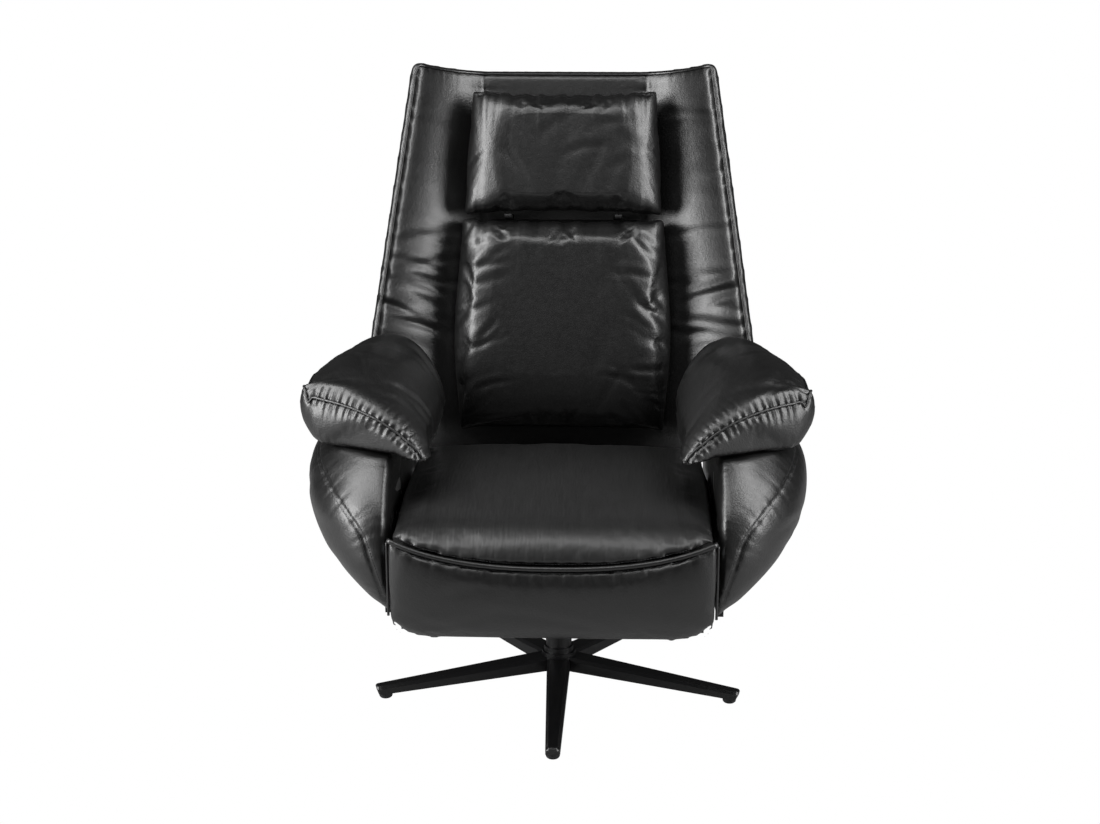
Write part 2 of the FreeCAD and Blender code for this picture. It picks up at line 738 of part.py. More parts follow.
for side, sign in SIDES:
    web = ("30", "(lip_height - 2 - " + rail_low + ")", "-knee_y + 1", rail_low)
    sub_part(
        lug_plate(
            "legrest_bracket_" + side + "_plate",
            sign,
            bracket_near,
            "lug_radius",
            "-knee_y",
            "knee_z",
            "pin_radius + running_gap",
            web,
        ),
        "legrest_bracket_" + side,
    )
pins = []
for side, sign in SIDES:
    reach = "(2 * lug_thickness + lug_gap + 1)"
    x = side_x(sign, bracket_near, reach)
    pins.append(cylinder("legrest_pin_" + side, "pin_radius", reach, (x, "-knee_y", "knee_z"), X_AXIS))
sub_part(group("legrest_pin_pair", pins), "legrest_pins")
board_rear = "(-panel_face + panel_depth + board_thickness)"
for side, sign in SIDES:
    web = ("20", "(knee_z - board_low - 8)", board_rear, "board_low + 8")
    sub_part(
        lug_plate(
            "legrest_arm_" + side + "_plate",
            sign,
            arm_near,
            "lug_radius",
            "-knee_y",
            "knee_z",
            "pin_radius + running_gap",
            web,
        ),
        "legrest_arm_" + side,
    )
sub_part(
    box(
        "board",
        "2 * board_half_width",
        "board_thickness",
        "board_top - board_low",
        ("-board_half_width", "-panel_face + panel_depth", "board_low"),
    ),
    "legrest_board",
)


def make_legrest_pad():
    """Padded front panel: crowned face, rounded lower corners, tucked lower edge."""
    half, face, depth = dim("panel_half_width"), -dim("panel_face"), dim("panel_depth")
    low, high = dim("panel_low"), dim("knee_z") - 2
    back = face + depth - 0.5
    rise = high - low
    stations = (
        (0.0, 0.72, 0.62),
        (0.07, 0.86, 0.4),
        (0.2, 0.95, 0.2),
        (0.36, 0.992, 0.06),
        (0.66, 1.0, 0.0),
        (1.0, 0.99, 0.12),
    )
    sections = []
    for share, width, tuck in stations:
        z = low + share * rise
        w = half * width
        front = face + tuck * depth
        side = front + (back - front) * 0.45
        sections.append(
            [
                line((-w + 5, back, z), (w - 5, back, z)),
                arc((w - 5, back, z), (w, (back + side) / 2, z), (w - 5, side, z)),
                arc((w - 5, side, z), (0, front, z), (-w + 5, side, z)),
                arc((-w + 5, side, z), (-w, (back + side) / 2, z), (-w + 5, back, z)),
            ]
        )
    return feature("LegrestPadForm", loft(sections))


sub_part(make_legrest_pad(), "legrest_pad")

# Flap folded behind the leg rest, on a pin hinge along its lower edge
flap_y = "(" + board_rear + " + flap_knuckle)"
leaf_front = board_rear
flap_front = "(" + board_rear + " + 2 * flap_knuckle)"
fixed_leaves, moving_leaves, hinge_pins = [], [], []
for tag, centre in (("right", "-flap_hinge_spacing / 2"), ("left", "flap_hinge_spacing / 2")):
    for kind, start, leaves in (
        ("fixed", centre + " - flap_knuckle_gap / 2 - flap_knuckle_length", fixed_leaves),
        ("moving", centre + " + flap_knuckle_gap / 2", moving_leaves),
    ):
        name = kind + "_" + tag
        barrel = cylinder(
            name + "_barrel",
            "flap_knuckle",
            "flap_knuckle_length",
            (start, flap_y, "flap_axis_z"),
            X_AXIS,
        )
        leaf_y = leaf_front if kind == "fixed" else flap_front + " - flap_leaf"
        leaf_at = (start, leaf_y, "flap_axis_z")
        leaf = box(name + "_leaf", "flap_knuckle_length", "flap_leaf", "flap_leaf_length", leaf_at)
        bore_at = (start + " - 1", flap_y, "flap_axis_z")
        bore = cylinder(
            name + "_bore",
            "flap_pin_radius + running_gap",
            "flap_knuckle_length + 2",
            bore_at,
            X_AXIS,
        )
        leaves.append(cut(name + "_hinge", fuse(name + "_blank", [barrel, leaf]), [bore]))
    pin_at = (centre + " - flap_knuckle_gap / 2 - flap_knuckle_length", flap_y, "flap_axis_z")
    pin_length = "2 * flap_knuckle_length + flap_knuckle_gap"
    hinge_pins.append(cylinder("flap_pin_" + tag, "flap_pin_radius", pin_length, pin_at, X_AXIS))
sub_part(group("fixed_leaves", fixed_leaves), "flap_hinge_panel_leaves")
sub_part(group("flap_pins", hinge_pins), "flap_hinge_pins")
sub_part(group("moving_leaves", moving_leaves), "flap_hinge_flap_leaves")
sub_part(
    box(
        "flap_blank",
        "2 * flap_half_width",
        "flap_board_thickness",
        "flap_length",
        ("-flap_half_width", flap_front, "flap_axis_z + flap_offset"),
    ),
    "flap_board",
)


def make_flap_pad():
    """Thin pad on the flap, crowned towards the rear, rounded at its ends."""
    half = dim("flap_half_width")
    front = -dim("panel_face") + dim("panel_depth") + dim("board_thickness") + 2 * dim("flap_knuckle")
    front += dim("flap_board_thickness") + dim("soft_gap")
    low = dim("flap_axis_z") + dim("flap_offset")
    sections = []
    for share, width, depth in (
        (0.0, 0.97, 0.45),
        (0.12, 1.0, 0.8),
        (0.5, 1.0, 1.0),
        (0.88, 1.0, 0.8),
        (1.0, 0.97, 0.45),
    ):
        z, w = low + share * dim("flap_length"), half * width
        rear = front + depth * dim("flap_pad_depth")
        side = front + (rear - front) * 0.6
        sections.append(
            [
                line((-w, front, z), (w, front, z)),
                line((w, front, z), (w, side, z)),
                arc((w, side, z), (0, rear, z), (-w, side, z)),
                line((-w, side, z), (-w, front, z)),
            ]
        )
    return feature("FlapPadForm", loft(sections))


sub_part(make_flap_pad(), "flap_pad")

# The back is drawn upright about its hinge axis, then leaned: Y is depth, Z runs up the back
BACK_PLACE = Placement(Vector(0, dim("hinge_y"), dim("hinge_z")), Rotation(X_AXIS, -dim("back_lean")))


def shell_half_width(level):
    """The wings taper evenly from the arms to the top."""
    slope = (dim("shell_half_arm") - dim("shell_half_top")) / (dim("shell_top") - dim("shell_arm_level"))
    return dim("shell_half_arm") - slope * (level - dim("shell_arm_level"))


def shell_section(level, half, wing, inset=0.0):
    """Plan section of the shell: flat middle, two wings that curve forward to rounded edges."""
    flat = min(dim("shell_flat"), half * 0.62)
    front, rear = -dim("shell_front") + inset, dim("shell_rear") - inset
    thick = dim("wing_thickness")
    edge = -wing + inset
    outer = (half - inset, edge + thick * 0.5)
    tip = (half - thick * 0.38, edge)
    inner = (half - thick * 0.9, edge + thick * 0.36)
    outer_mid = (flat + (outer[0] - flat) * 0.64, rear + (outer[1] - rear) * 0.36)
    inner_mid = (flat + (inner[0] - flat) * 0.56, front + (inner[1] - front) * 0.4)

    def at(point, sign=1):
        return (sign * point[0], point[1], level)

    rear_edge, front_edge = (flat, rear - 3), (flat - 4, front)
    return [
        arc(at(rear_edge, -1), (0, rear, level), at(rear_edge)),
        arc(at(rear_edge), at(outer_mid), at(outer)),
        arc(at(outer), at(tip), at(inner)),
        arc(at(inner), at(inner_mid), at(front_edge)),
        line(at(front_edge), at(front_edge, -1)),
        arc(at(front_edge, -1), at(inner_mid, -1), at(inner, -1)),
        arc(at(inner, -1), at(tip, -1), at(outer, -1)),
        arc(at(outer, -1), at(outer_mid, -1), at(rear_edge, -1)),
    ]


def make_back_shell():
    top, low, wing = dim("shell_top"), -dim("shell_low"), dim("wing_depth")
    arm = dim("shell_arm_level")
    widest = dim("shell_half_arm")
    stations = [
        (low, widest * 0.5, wing * 0.3, 6),
        (low + 14, widest * 0.62, wing * 0.36, 0),
        (arm * 0.1, widest * 0.78, wing * 0.56, 0),
        (arm * 0.5, widest * 0.93, wing * 0.86, 0),
        (arm, widest, wing, 0),
    ]
    for share in (0.34, 0.68, 0.985):
        level = arm + (top - arm) * share
        stations.append((level, shell_half_width(level), wing * (1.0 - 0.04 * share), 0))
    stations.append((top, shell_half_width(top), wing * 0.95, 5))
    shell = feature("ShellForm", capped_loft([shell_section(*station) for station in stations]))
    tools = []
    for side, sign in SIDES:
        clear = "(side_inner - wing_gap)"
        x = side_x(sign, clear, "side_outer")
        tools.append(
            cylinder(
                "shoulder_" + side,
                "shoulder_radius + wing_gap",
                "side_outer",
                (x, "0", "0"),
                X_AXIS,
            )
        )
        x = side_x(sign, "tongue_half_width", "side_outer")
        tools.append(
            box(
                "hinge_clear_" + side,
                "side_outer",
                "400",
                "400",
                (x, "-200", "-400 + hinge_lug_radius + wing_gap"),
            )
        )
        x = side_x(sign, "(frame_width / 2 - 2 * lug_thickness - lug_gap)", "3 * lug_thickness")
        at = (x, "-shell_front - 10", "-40")
        tools.append(
            box(
                "upright_slot_" + side,
                "3 * lug_thickness",
                "upright_depth + 14",
                "upright_length + 44",
                at,
            )
        )
    for k, level in enumerate(cross_levels):
        at = (
            "-frame_width / 2 + 2 * lug_thickness",
            "-shell_front - 10",
            level + " - cross_bar_radius - 0.3",
        )
        depth = "upright_depth / 2 + cross_bar_radius + 11.3"
        height = "2 * cross_bar_radius + 0.6"
        tools.append(box("bar_slot%d" % k, "frame_width - 4 * lug_thickness", depth, height, at))
    return cut("shell_trimmed", shell, tools)


cross_levels = ("upright_length * 0.2", "upright_length * 0.9")
sub_part(make_back_shell(), "back_shell", BACK_PLACE)

# Back frame: flat uprights with hinge eyes, joined by two round bars
upright_near = "(frame_width / 2 - lug_gap - lug_thickness)"
for side, sign in SIDES:
    x = side_x(sign, upright_near, "lug_thickness")
    name = "upright_" + side
    eye = cylinder(name + "_eye", "hinge_lug_radius", "lug_thickness", (x, "0", "0"), X_AXIS)
    blade_at = (x, "-shell_front + 1", "0")
    blade = box(name + "_blade", "lug_thickness", "upright_depth", "upright_length", blade_at)
    heel = box(
        name + "_heel",
        "lug_thickness",
        "shell_front",
        "hinge_lug_radius",
        (x, "-shell_front + 1", "0"),
    )
    hole = cylinder(
        name + "_hole",
        "hinge_pin_radius + running_gap",
        "lug_thickness + 2",
        (x + " - 1", "0", "0"),
        X_AXIS,
    )
    sub_part(
        cut(name, fuse(name + "_blank", [eye, blade, heel]), [hole]),
        "back_upright_" + side,
        BACK_PLACE,
    )
bars = []
bar_y = "-shell_front + 1 + upright_depth / 2"
for k, level in enumerate(cross_levels):
    bars.append(
        cylinder(
            "cross_bar%d" % k,
            "cross_bar_radius",
            "2 * " + upright_near,
            ("-" + upright_near, bar_y, level),
            X_AXIS,
        )
    )
sub_part(group("cross_bars", bars), "back_cross_bars", BACK_PLACE)

# Hinge plates and pins that carry the back on the side rails
for side, sign in SIDES:
    web = ("2 * hinge_lug_radius", "(hinge_z - " + rail_low + ")", "hinge_y - hinge_lug_radius", rail_low)
    sub_part(
        lug_plate(
            "back_bracket_" + side + "_plate",
            sign,
            bracket_near,
            "hinge_lug_radius",
            "hinge_y",
            "hinge_z",
            "hinge_pin_radius + running_gap",
            web,
        ),
        "back_bracket_" + side,
    )
pins = []
for side, sign in SIDES:
    reach = "(2 * lug_thickness + lug_gap + 4)"
    x = side_x(sign, upright_near + " - 2", reach)
    pins.append(
        cylinder("back_pin_" + side, "hinge_pin_radius", reach, (x, "hinge_y", "hinge_z"), X_AXIS)
    )
sub_part(group("back_pins", pins), "back_hinge_pins")


def pillow_section(level, half, rear, face, side_round):
    """Plan section of a back cushion: flat rear on the shell's middle, rounded sides, crowned face."""
    foot = min(dim("shell_flat") - 10, half - 10)
    side = rear + (face - rear) * 0.78
    flank = rear + (side - rear) * 0.4
    hip = half - 6
    return [
        line((-foot, rear, level), (foot, rear, level)),
        line((foot, rear, level), (hip, flank, level)),
        arc((hip, flank, level), (half, (flank + side) / 2, level), (half - side_round, side, level)),
        arc((half - side_round, side, level), (0, face, level), (-half + side_round, side, level)),
        arc((-half + side_round, side, level), (-half, (flank + side) / 2, level), (-hip, flank, level)),
        line((-hip, flank, level), (-foot, rear, level)),
    ]


def make_cushion(name, low, high, half_low, half_high, rear, face):
    """A pillow between two levels, drawn in at its ends and crowned between them."""
    length = high - low
    stations = (
        (0.0, 0.9, 0.62),
        (0.05, 0.97, 0.86),
        (0.25, 1.0, 0.985),
        (0.5, 1.015, 1.0),
        (0.75, 1.0, 0.985),
        (0.95, 0.97, 0.86),
        (1.0, 0.9, 0.62),
    )
    sections = []
    for share, width, depth in stations:
        half = (half_low + (half_high - half_low) * share) * width
        sections.append(
            pillow_section(low + share * length, half, rear, rear + (face - rear) * depth, 16)
        )
    return feature(name, capped_loft(sections))


shell_face = -dim("shell_front")
lumbar = make_cushion(
    "LumbarForm",
    dim("lumbar_low"),
    dim("lumbar_top"),
    dim("lumbar_half_width"),
    dim("lumbar_half_width") * 0.955,
    shell_face - dim("soft_gap"),
    -dim("cushion_face"),
)
sub_part(lumbar, "lumbar_cushion", BACK_PLACE)

# Head cushion on two ratchet hinges in the crease
head_axis_y = "-head_axis_depth"
head_axis_z = "(lumbar_top + crease / 2)"
board_face = "(-shell_front - head_board_gap - head_board_thickness)"
brackets, arms, pins = [], [], []
for side, sign in SIDES:
    near = "head_bar_spacing / 2"
    x = side_x(sign, near, "head_bar_width")
    low = head_axis_z + " - head_bar_height / 2"
    bore = ("head_pin_radius + running_gap", "head_bar_width + 2")
    bar = box(
        "head_bracket_bar_" + side,
        "head_bar_width",
        "head_axis_depth - shell_front",
        "head_bar_height",
        (x, head_axis_y, low),
    )
    eye = cylinder(
        "head_bracket_eye_" + side,
        "head_bar_height / 2",
        "head_bar_width",
        (x, head_axis_y, head_axis_z),
        X_AXIS,
    )
    hole = cylinder("head_bracket_hole_" + side, *bore, (x + " - 1", head_axis_y, head_axis_z), X_AXIS)
    brackets.append(cut("head_bracket_" + side, fuse("head_bracket_blank_" + side, [bar, eye]), [hole]))
    x = side_x(sign, near + " + head_bar_width + 0.5", "head_bar_width")
    bar = box(
        "head_arm_bar_" + side,
        "head_bar_width",
        "head_axis_depth + " + board_face,
        "head_bar_height",
        (x, head_axis_y, low),
    )
    eye = cylinder(
        "head_arm_eye_" + side,
        "head_bar_height / 2",
        "head_bar_width",
        (x, head_axis_y, head_axis_z),
        X_AXIS,
    )
    hole = cylinder("head_arm_hole_" + side, *bore, (x + " - 1", head_axis_y, head_axis_z), X_AXIS)
    arms.append(cut("head_arm_" + side, fuse("head_arm_blank_" + side, [bar, eye]), [hole]))
    reach = "2 * head_bar_width + 0.5"
    x = side_x(sign, near, reach)
    pins.append(
        cylinder("head_pin_" + side, "head_pin_radius", reach, (x, head_axis_y, head_axis_z), X_AXIS)
    )
sub_part(group("head_brackets", brackets), "headrest_brackets", BACK_PLACE)
sub_part(group("head_pins", pins), "headrest_pins", BACK_PLACE)
sub_part(group("head_arms", arms), "headrest_arms", BACK_PLACE)
board_low = head_axis_z + " - head_bar_height / 2"
board_height = "head_top - 30 - lumbar_top"
board = box(
    "head_board",
    "head_half_width * 1.6",
    "head_board_thickness",
    board_height,
    ("-head_half_width * 0.8", board_face, board_low),
)
notches = []
for side, sign in SIDES:
    x = side_x(sign, "head_bar_spacing / 2 - 2", "head_bar_width + 2.25")
    at = (x, board_face + " - 1", board_low + " - 1")
    notches.append(
        box(
            "notch_" + side,
            "head_bar_width + 2.25",
            "head_board_thickness + 2",
            "head_bar_height + 3",
            at,
        )
    )
sub_part(cut("head_board_notched", board, notches), "headrest_board", BACK_PLACE)
head = make_cushion(
    "HeadForm",
    dim("lumbar_top") + dim("crease"),
    dim("head_top"),
    dim("head_half_width"),
    dim("head_half_width") * 0.94,
    shell_face - dim("head_board_gap") - dim("head_board_thickness") - dim("soft_gap"),
    -dim("cushion_face"),
)
sub_part(head, "head_cushion", BACK_PLACE)

# Sides: hull-shaped padded bodies on plywood panels, carried by outriggers on the rails
outrigger_reach = "side_inner - frame_width / 2"
panel_front, panel_length = "side_front * 0.8", "side_front * 0.8 + side_rear * 0.75"
for side, sign in SIDES:
    arms_out = []
    for tag, y in (("front", "-front_outrigger"), ("rear", "rear_outrigger")):
        x = side_x(sign, "frame_width / 2", outrigger_reach)
        at = (x, y, rail_low + " + (rail_width - outrigger_height) / 2")
        name = "outrigger_" + tag + "_" + side
        arms_out.append(box(name, outrigger_reach, "outrigger_depth", "outrigger_height", at))
    sub_part(group("outriggers_" + side, arms_out), "side_outriggers_" + side)
    x = side_x(sign, "side_inner", "side_panel_thickness")
    size = ("side_panel_thickness", panel_length, "side_top - side_low - 70")
    sub_part(box("panel_" + side, *size, (x, "-" + panel_front, rail_low)), "side_panel_" + side)


def side_section(sign, z, bulge, front, rear):
    """Plan section of a side body: straight inner face, long outer bow, rounded ends."""
    inner = dim("side_inner")
    deep = inner + bulge
    nose = inner + bulge * 0.16 + 4
    tail = inner + bulge * 0.3 + 4

    def at(x, y):
        return (sign * x, y, z)

    return [
        line(at(inner, rear), at(inner, front)),
        line(at(inner, front), at(nose, front)),
        arc(
            at(nose, front),
            at(deep * 0.985, front + (rear - front) * 0.27),
            at(deep, front + (rear - front) * 0.46),
        ),
        arc(
            at(deep, front + (rear - front) * 0.46),
            at(tail + (deep - tail) * 0.74, front + (rear - front) * 0.8),
            at(tail, rear),
        ),
        line(at(tail, rear), at(inner, rear)),
    ]


def make_side_body(side, sign):
    inner, outer = dim("side_inner"), dim("side_outer")
    low, high, widest = dim("side_low"), dim("side_top"), dim("side_widest")
    reach = outer - inner
    below, above = widest - low, high - widest
    front, rear = -dim("side_front"), dim("side_rear")
    stations = (
        (low, 0.05, front * 0.84, rear * 0.9),
        (low + below * 0.2, 0.39, front * 0.95, rear * 0.96),
        (low + below * 0.46, 0.74, front, rear),
        (low + below * 0.74, 0.94, front * 0.985, rear),
        (widest, 1.0, front * 0.93, rear),
        (widest + above * 0.5, 0.97, front * 0.84, rear),
        (high, 0.84, front * 0.72, rear),
    )
    sections = [
        side_section(sign, z, reach * share, y_front, y_rear) for z, share, y_front, y_rear in stations
    ]
    hull = feature("SideForm_" + side, loft(sections))
    x = side_x(sign, "side_inner - 1", "side_panel_thickness + 1 + soft_gap")
    at = (x, "-" + panel_front + " - soft_gap", rail_low + " - 20")
    size = (
        "side_panel_thickness + 1 + soft_gap",
        panel_length + " + 2 * soft_gap",
        "side_top - side_low - 50 + soft_gap",
    )
    pocket = box("panel_pocket_" + side, *size, at)
    x = side_x(sign, "side_inner - 2", "side_outer")
    behind = doc.addObject("Part::Box", "behind_" + side)
    bind(behind, Length="side_outer", Width="600", Height="1200")
    place(behind, x, "-wing_depth - wing_gap", "-600")
    round_core = cylinder(
        "round_core_" + side,
        "shoulder_radius",
        "side_outer + 2",
        (x + " - 1", "0", "0"),
        X_AXIS,
    )
    behind_round = cut("behind_round_" + side, behind, [round_core])
    behind_round.Placement = BACK_PLACE
    return cut("side_trimmed_" + side, hull, [pocket, behind_round])


for side, sign in SIDES:
    sub_part(make_side_body(side, sign), "side_body_" + side)


def arm_section(sign, inner, outer, edge_top, crown, low):
    """Slanted section of an arm pad: crowned top, bulged outer band, underside that droops inside."""
    step = (outer[0] - inner[0], outer[1] - inner[1])
    past_side = (dim("side_inner") - dim("wing_gap") - inner[0]) / step[0]

    def at(share, z):
        return (sign * (inner[0] + step[0] * share), inner[1] + step[1] * share, z)

    start, kink, end = at(0.04, low - dim("arm_droop")), at(past_side, low), at(0.93, low)
    edge = at(1.0, edge_top)
    return [
        line(start, kink),
        line(kink, end),
        arc(end, at(1.0, low + (edge_top - low) * 0.45), edge),
        arc(edge, at(0.42, edge_top + crown), start),
    ]


def make_arm_pad(side, sign):
    outer, inner = dim("arm_outer"), dim("arm_inner")
    low = dim("side_top") + dim("soft_gap")
    top = low + dim("arm_depth") - 4
    crown = dim("arm_crown")
    reach = dim("side_front")
    stations = (
        ((inner + 26, reach * 0.4), (outer - 76, reach * 0.25), -34, 0.0),
        ((inner + 15, reach * 0.34), (outer - 62, reach * 0.2), -6, 0.4),
        ((inner + 3, reach * 0.1), (outer - 30, reach * 0.04), 6, 0.6),
        ((inner, -reach * 0.22), (outer - 6, -reach * 0.2), 8, 0.5),
        ((inner + 2, -reach * 0.55), (outer, -reach * 0.41), 2, -0.2),
        ((inner + 9, -reach * 0.76), (outer - 5, -reach * 0.51), -4, -1.0),
        ((inner + 24, -reach * 0.81), (outer - 20, -reach * 0.555), -36, -0.7),
    )
    sections = [
        arm_section(sign, near, far, top + lift, crown * share, low) for near, far, lift, share in stations
    ]
    return feature("ArmForm_" + side, capped_loft(sections))


for side, sign in SIDES:
    sub_part(make_arm_pad(side, sign), "arm_pad_" + side)

# Check every object and every sub-part, then write the sub-parts
doc.recompute()
for thing in doc.Objects:
    if "Invalid" in thing.State or "Error" in thing.State:
        raise RuntimeError("%s failed: %s" % (thing.Name, thing.State))
for thing in sub_parts:
    if thing.Shape.isNull() or not thing.Shape.isValid() or not thing.Shape.Solids:
        raise RuntimeError("%s has no sound solid" % thing.Label)
    print("%-26s solids %2d  volume %10.0f" % (thing.Label, len(thing.Shape.Solids), thing.Shape.Volume))
os.makedirs("parts", exist_ok=True)
for thing in sub_parts:
    thing.Shape.exportStep("parts/%s.step" % thing.Label)
print("%d sub-parts written" % len(sub_parts))
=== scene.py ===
import json
import math

import bpy
import numpy as np
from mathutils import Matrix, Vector
from mathutils.bvhtree import BVHTree


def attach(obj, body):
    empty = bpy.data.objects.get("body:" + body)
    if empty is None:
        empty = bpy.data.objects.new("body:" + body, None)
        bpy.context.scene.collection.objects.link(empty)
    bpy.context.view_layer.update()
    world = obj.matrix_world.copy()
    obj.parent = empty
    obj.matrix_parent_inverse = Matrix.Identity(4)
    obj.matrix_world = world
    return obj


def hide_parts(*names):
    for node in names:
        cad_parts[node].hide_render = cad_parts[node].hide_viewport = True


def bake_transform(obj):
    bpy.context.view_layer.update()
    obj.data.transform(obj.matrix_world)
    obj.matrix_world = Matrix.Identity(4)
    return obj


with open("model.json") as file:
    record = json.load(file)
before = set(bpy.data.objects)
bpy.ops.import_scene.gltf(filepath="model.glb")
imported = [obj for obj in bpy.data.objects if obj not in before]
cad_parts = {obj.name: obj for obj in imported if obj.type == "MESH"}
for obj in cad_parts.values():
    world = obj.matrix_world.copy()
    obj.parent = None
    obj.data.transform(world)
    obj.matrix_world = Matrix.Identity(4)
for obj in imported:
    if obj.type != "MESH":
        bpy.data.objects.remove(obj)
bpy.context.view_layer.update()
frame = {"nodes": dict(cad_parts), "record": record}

# Sizes shared by the pieces, as the frame has them
HINGE_Y, HINGE_Z, BACK_LEAN = 0.200, 0.310, math.radians(14)
SHOULDER_RADIUS, WING_GAP = 0.165, 0.006
SHELL_TOP, SHELL_LOW, WING_DEPTH, WING_THICKNESS = 0.772, -0.062, 0.148, 0.034
SHELL_FACE, SHELL_REAR, SHELL_RIM = -0.040, 0.014, 0.012
ARM_LEVEL, HALF_AT_ARMS, HALF_AT_TOP = 0.257, 0.354, 0.279
SEAT_HALF, SEAT_BASE = 0.262, 0.2665
PANEL_HALF, PANEL_FACE, PANEL_DEPTH, PANEL_LOW = 0.265, 0.395, 0.030, 0.228
SIDE_INNER, SIDE_OUTER, SIDE_LOW, SIDE_TOP, SIDE_WIDEST = 0.268, 0.424, 0.240, 0.500, 0.432
SIDES = (("left", 1), ("right", -1))
FRONTWARD, UPWARD = (0, -1, 0), (0, 0, 1)

# Pleats and creases: the turn of a wave, and the ridge that stands beside each dent
WAVE_TURN = 6.28
RIDGE_SHARE, RIDGE_PLACE = 0.45, 1.9


def on_side(sign, inner, outer):
    """The range across from inner to outer on the left, or its mirror image on the right."""
    return tuple(sorted((sign * inner, sign * outer)))


def lean(points):
    """Turn points of the back's own frame (across, depth, up) by the lean about the hinge line."""
    across, depth, up = np.moveaxis(np.asarray(points, float), -1, 0)
    turned_y = HINGE_Y + depth * math.cos(BACK_LEAN) + up * math.sin(BACK_LEAN)
    turned_z = HINGE_Z - depth * math.sin(BACK_LEAN) + up * math.cos(BACK_LEAN)
    return np.stack([across, turned_y, turned_z], axis=-1)


def unlean(points):
    """The reverse of lean."""
    x, y, z = np.moveaxis(np.asarray(points, float), -1, 0)
    y, z = y - HINGE_Y, z - HINGE_Z
    depth = y * math.cos(BACK_LEAN) - z * math.sin(BACK_LEAN)
    up = y * math.sin(BACK_LEAN) + z * math.cos(BACK_LEAN)
    return np.stack([x, depth, up], axis=-1)


def through(values, at, where):
    """A smooth curve through values at given places: cubics whose slopes are central differences."""
    values, at, where = np.asarray(values, float), np.asarray(at, float), np.asarray(where, float)
    slopes = np.gradient(values, at, axis=0)
    k = np.clip(np.searchsorted(at, where, side="right") - 1, 0, len(at) - 2)
    span = at[k + 1] - at[k]
    t = (where - at[k]) / span
    shape = (-1,) + (1,) * (values.ndim - 1)
    t, span = t.reshape(shape), span.reshape(shape)
    h1 = 2 * t**3 - 3 * t**2 + 1
    h2 = t**3 - 2 * t**2 + t
    h3 = 3 * t**2 - 2 * t**3
    h4 = t**3 - t**2
    return h1 * values[k] + h2 * span * slopes[k] + h3 * values[k + 1] + h4 * span * slopes[k + 1]


def bow(start, middle, end, count):
    """Points of the parabola that starts, passes and ends at three given points."""
    t = np.linspace(0, 1, count, endpoint=False)[:, None]
    start, middle, end = (np.asarray(p, float) for p in (start, middle, end))
    return start * (1 - t) * (1 - 2 * t) + middle * 4 * t * (1 - t) + end * t * (2 * t - 1)


def lengths_along(path):
    """How far along a path each of its points lies."""
    return np.concatenate([[0], np.cumsum(np.linalg.norm(np.diff(path, axis=0), axis=1))])


def unit(vectors):
    """Each vector of an array brought to length one."""
    return vectors / np.linalg.norm(vectors, axis=1, keepdims=True)


def legs(corners):
    """Points along straight legs from corner to corner, eight to a leg, without the last corner."""
    pairs = zip(corners[:-1], corners[1:])
    return np.concatenate([np.linspace(start, end, 8, endpoint=False) for start, end in pairs])


def make_object(name, points, faces):
    """A mesh object from an array of points and a list or array of faces."""
    mesh = bpy.data.meshes.new(name)
    corners = [list(map(int, face)) for face in faces]
    mesh.from_pydata(np.asarray(points).reshape(-1, 3).tolist(), [], corners)
    made = bpy.data.objects.new(name, mesh)
    bpy.context.collection.objects.link(made)
    return made


def tube_faces(rings, around):
    """Quads between successive closed rings, with a flat face over each end."""
    row, column = np.meshgrid(np.arange(rings - 1), np.arange(around), indexing="ij")
    a = row * around + column
    b = row * around + (column + 1) % around
    quads = np.stack([a, b, b + around, a + around], axis=-1).reshape(-1, 4).tolist()
    last = (rings - 1) * around
    return quads + [list(range(around))[::-1], list(range(last, last + around))]


def solid(name, rings):
    """A closed solid from an array of closed rings (ring, point, xyz), its faces turned outwards."""
    return outward(make_object(name, rings, tube_faces(rings.shape[0], rings.shape[1])))


def outward(piece):
    """Turn the faces of a closed piece outwards, where they look inwards."""
    if signed_volume(piece.data) < 0:
        piece.data.flip_normals()
    return piece


def signed_volume(mesh):
    """Six times the volume inside a closed mesh: the sum of the triple products of its triangles."""
    mesh.calc_loop_triangles()
    corners = np.empty(len(mesh.loop_triangles) * 3, np.int32)
    mesh.loop_triangles.foreach_get("vertices", corners)
    p = points_of(mesh)[corners].reshape(-1, 3, 3)
    return float(np.einsum("ij,ij->", p[:, 0], np.cross(p[:, 1], p[:, 2])))


def points_of(mesh):
    """The vertices of a mesh as an array."""
    flat = np.empty(len(mesh.vertices) * 3, np.float32)
    mesh.vertices.foreach_get("co", flat)
    return flat.reshape(-1, 3).astype(float)


def set_points(mesh, points):
    mesh.vertices.foreach_set("co", np.asarray(points, np.float32).ravel())
    mesh.update()


def normals_of(mesh):
    """The vertex normals of a mesh as an array."""
    flat = np.empty(len(mesh.vertices) * 3, np.float32)
    mesh.vertex_normals.foreach_get("vector", flat)
    return flat.reshape(-1, 3).astype(float)


def bake(piece):
    """Put what the modifiers make of a piece into its mesh, and remove them."""
    graph = bpy.context.evaluated_depsgraph_get()
    mesh = bpy.data.meshes.new_from_object(piece.evaluated_get(graph))
    piece.modifiers.clear()
    piece.data = mesh
    return piece


def carve(piece, cutter):
    """Cut one closed solid out of another."""
    modifier = piece.modifiers.new("carve", "BOOLEAN")
    modifier.operation = "DIFFERENCE"
    modifier.solver = "EXACT"
    modifier.object = cutter
    bake(piece)
    bpy.data.objects.remove(cutter)
    return piece


def remesh(piece, voxel):
    """Give a closed solid an even mesh of small squares."""
    modifier = piece.modifiers.new("even", "REMESH")
    modifier.mode = "VOXEL"
    modifier.voxel_size = voxel
    return bake(piece)


def smooth(piece, turns, factor=0.5):
    """Round off corners: each vertex moves towards the middle of its neighbours."""
    modifier = piece.modifiers.new("soften", "SMOOTH")
    modifier.iterations = turns
    modifier.factor = factor
    return bake(piece)


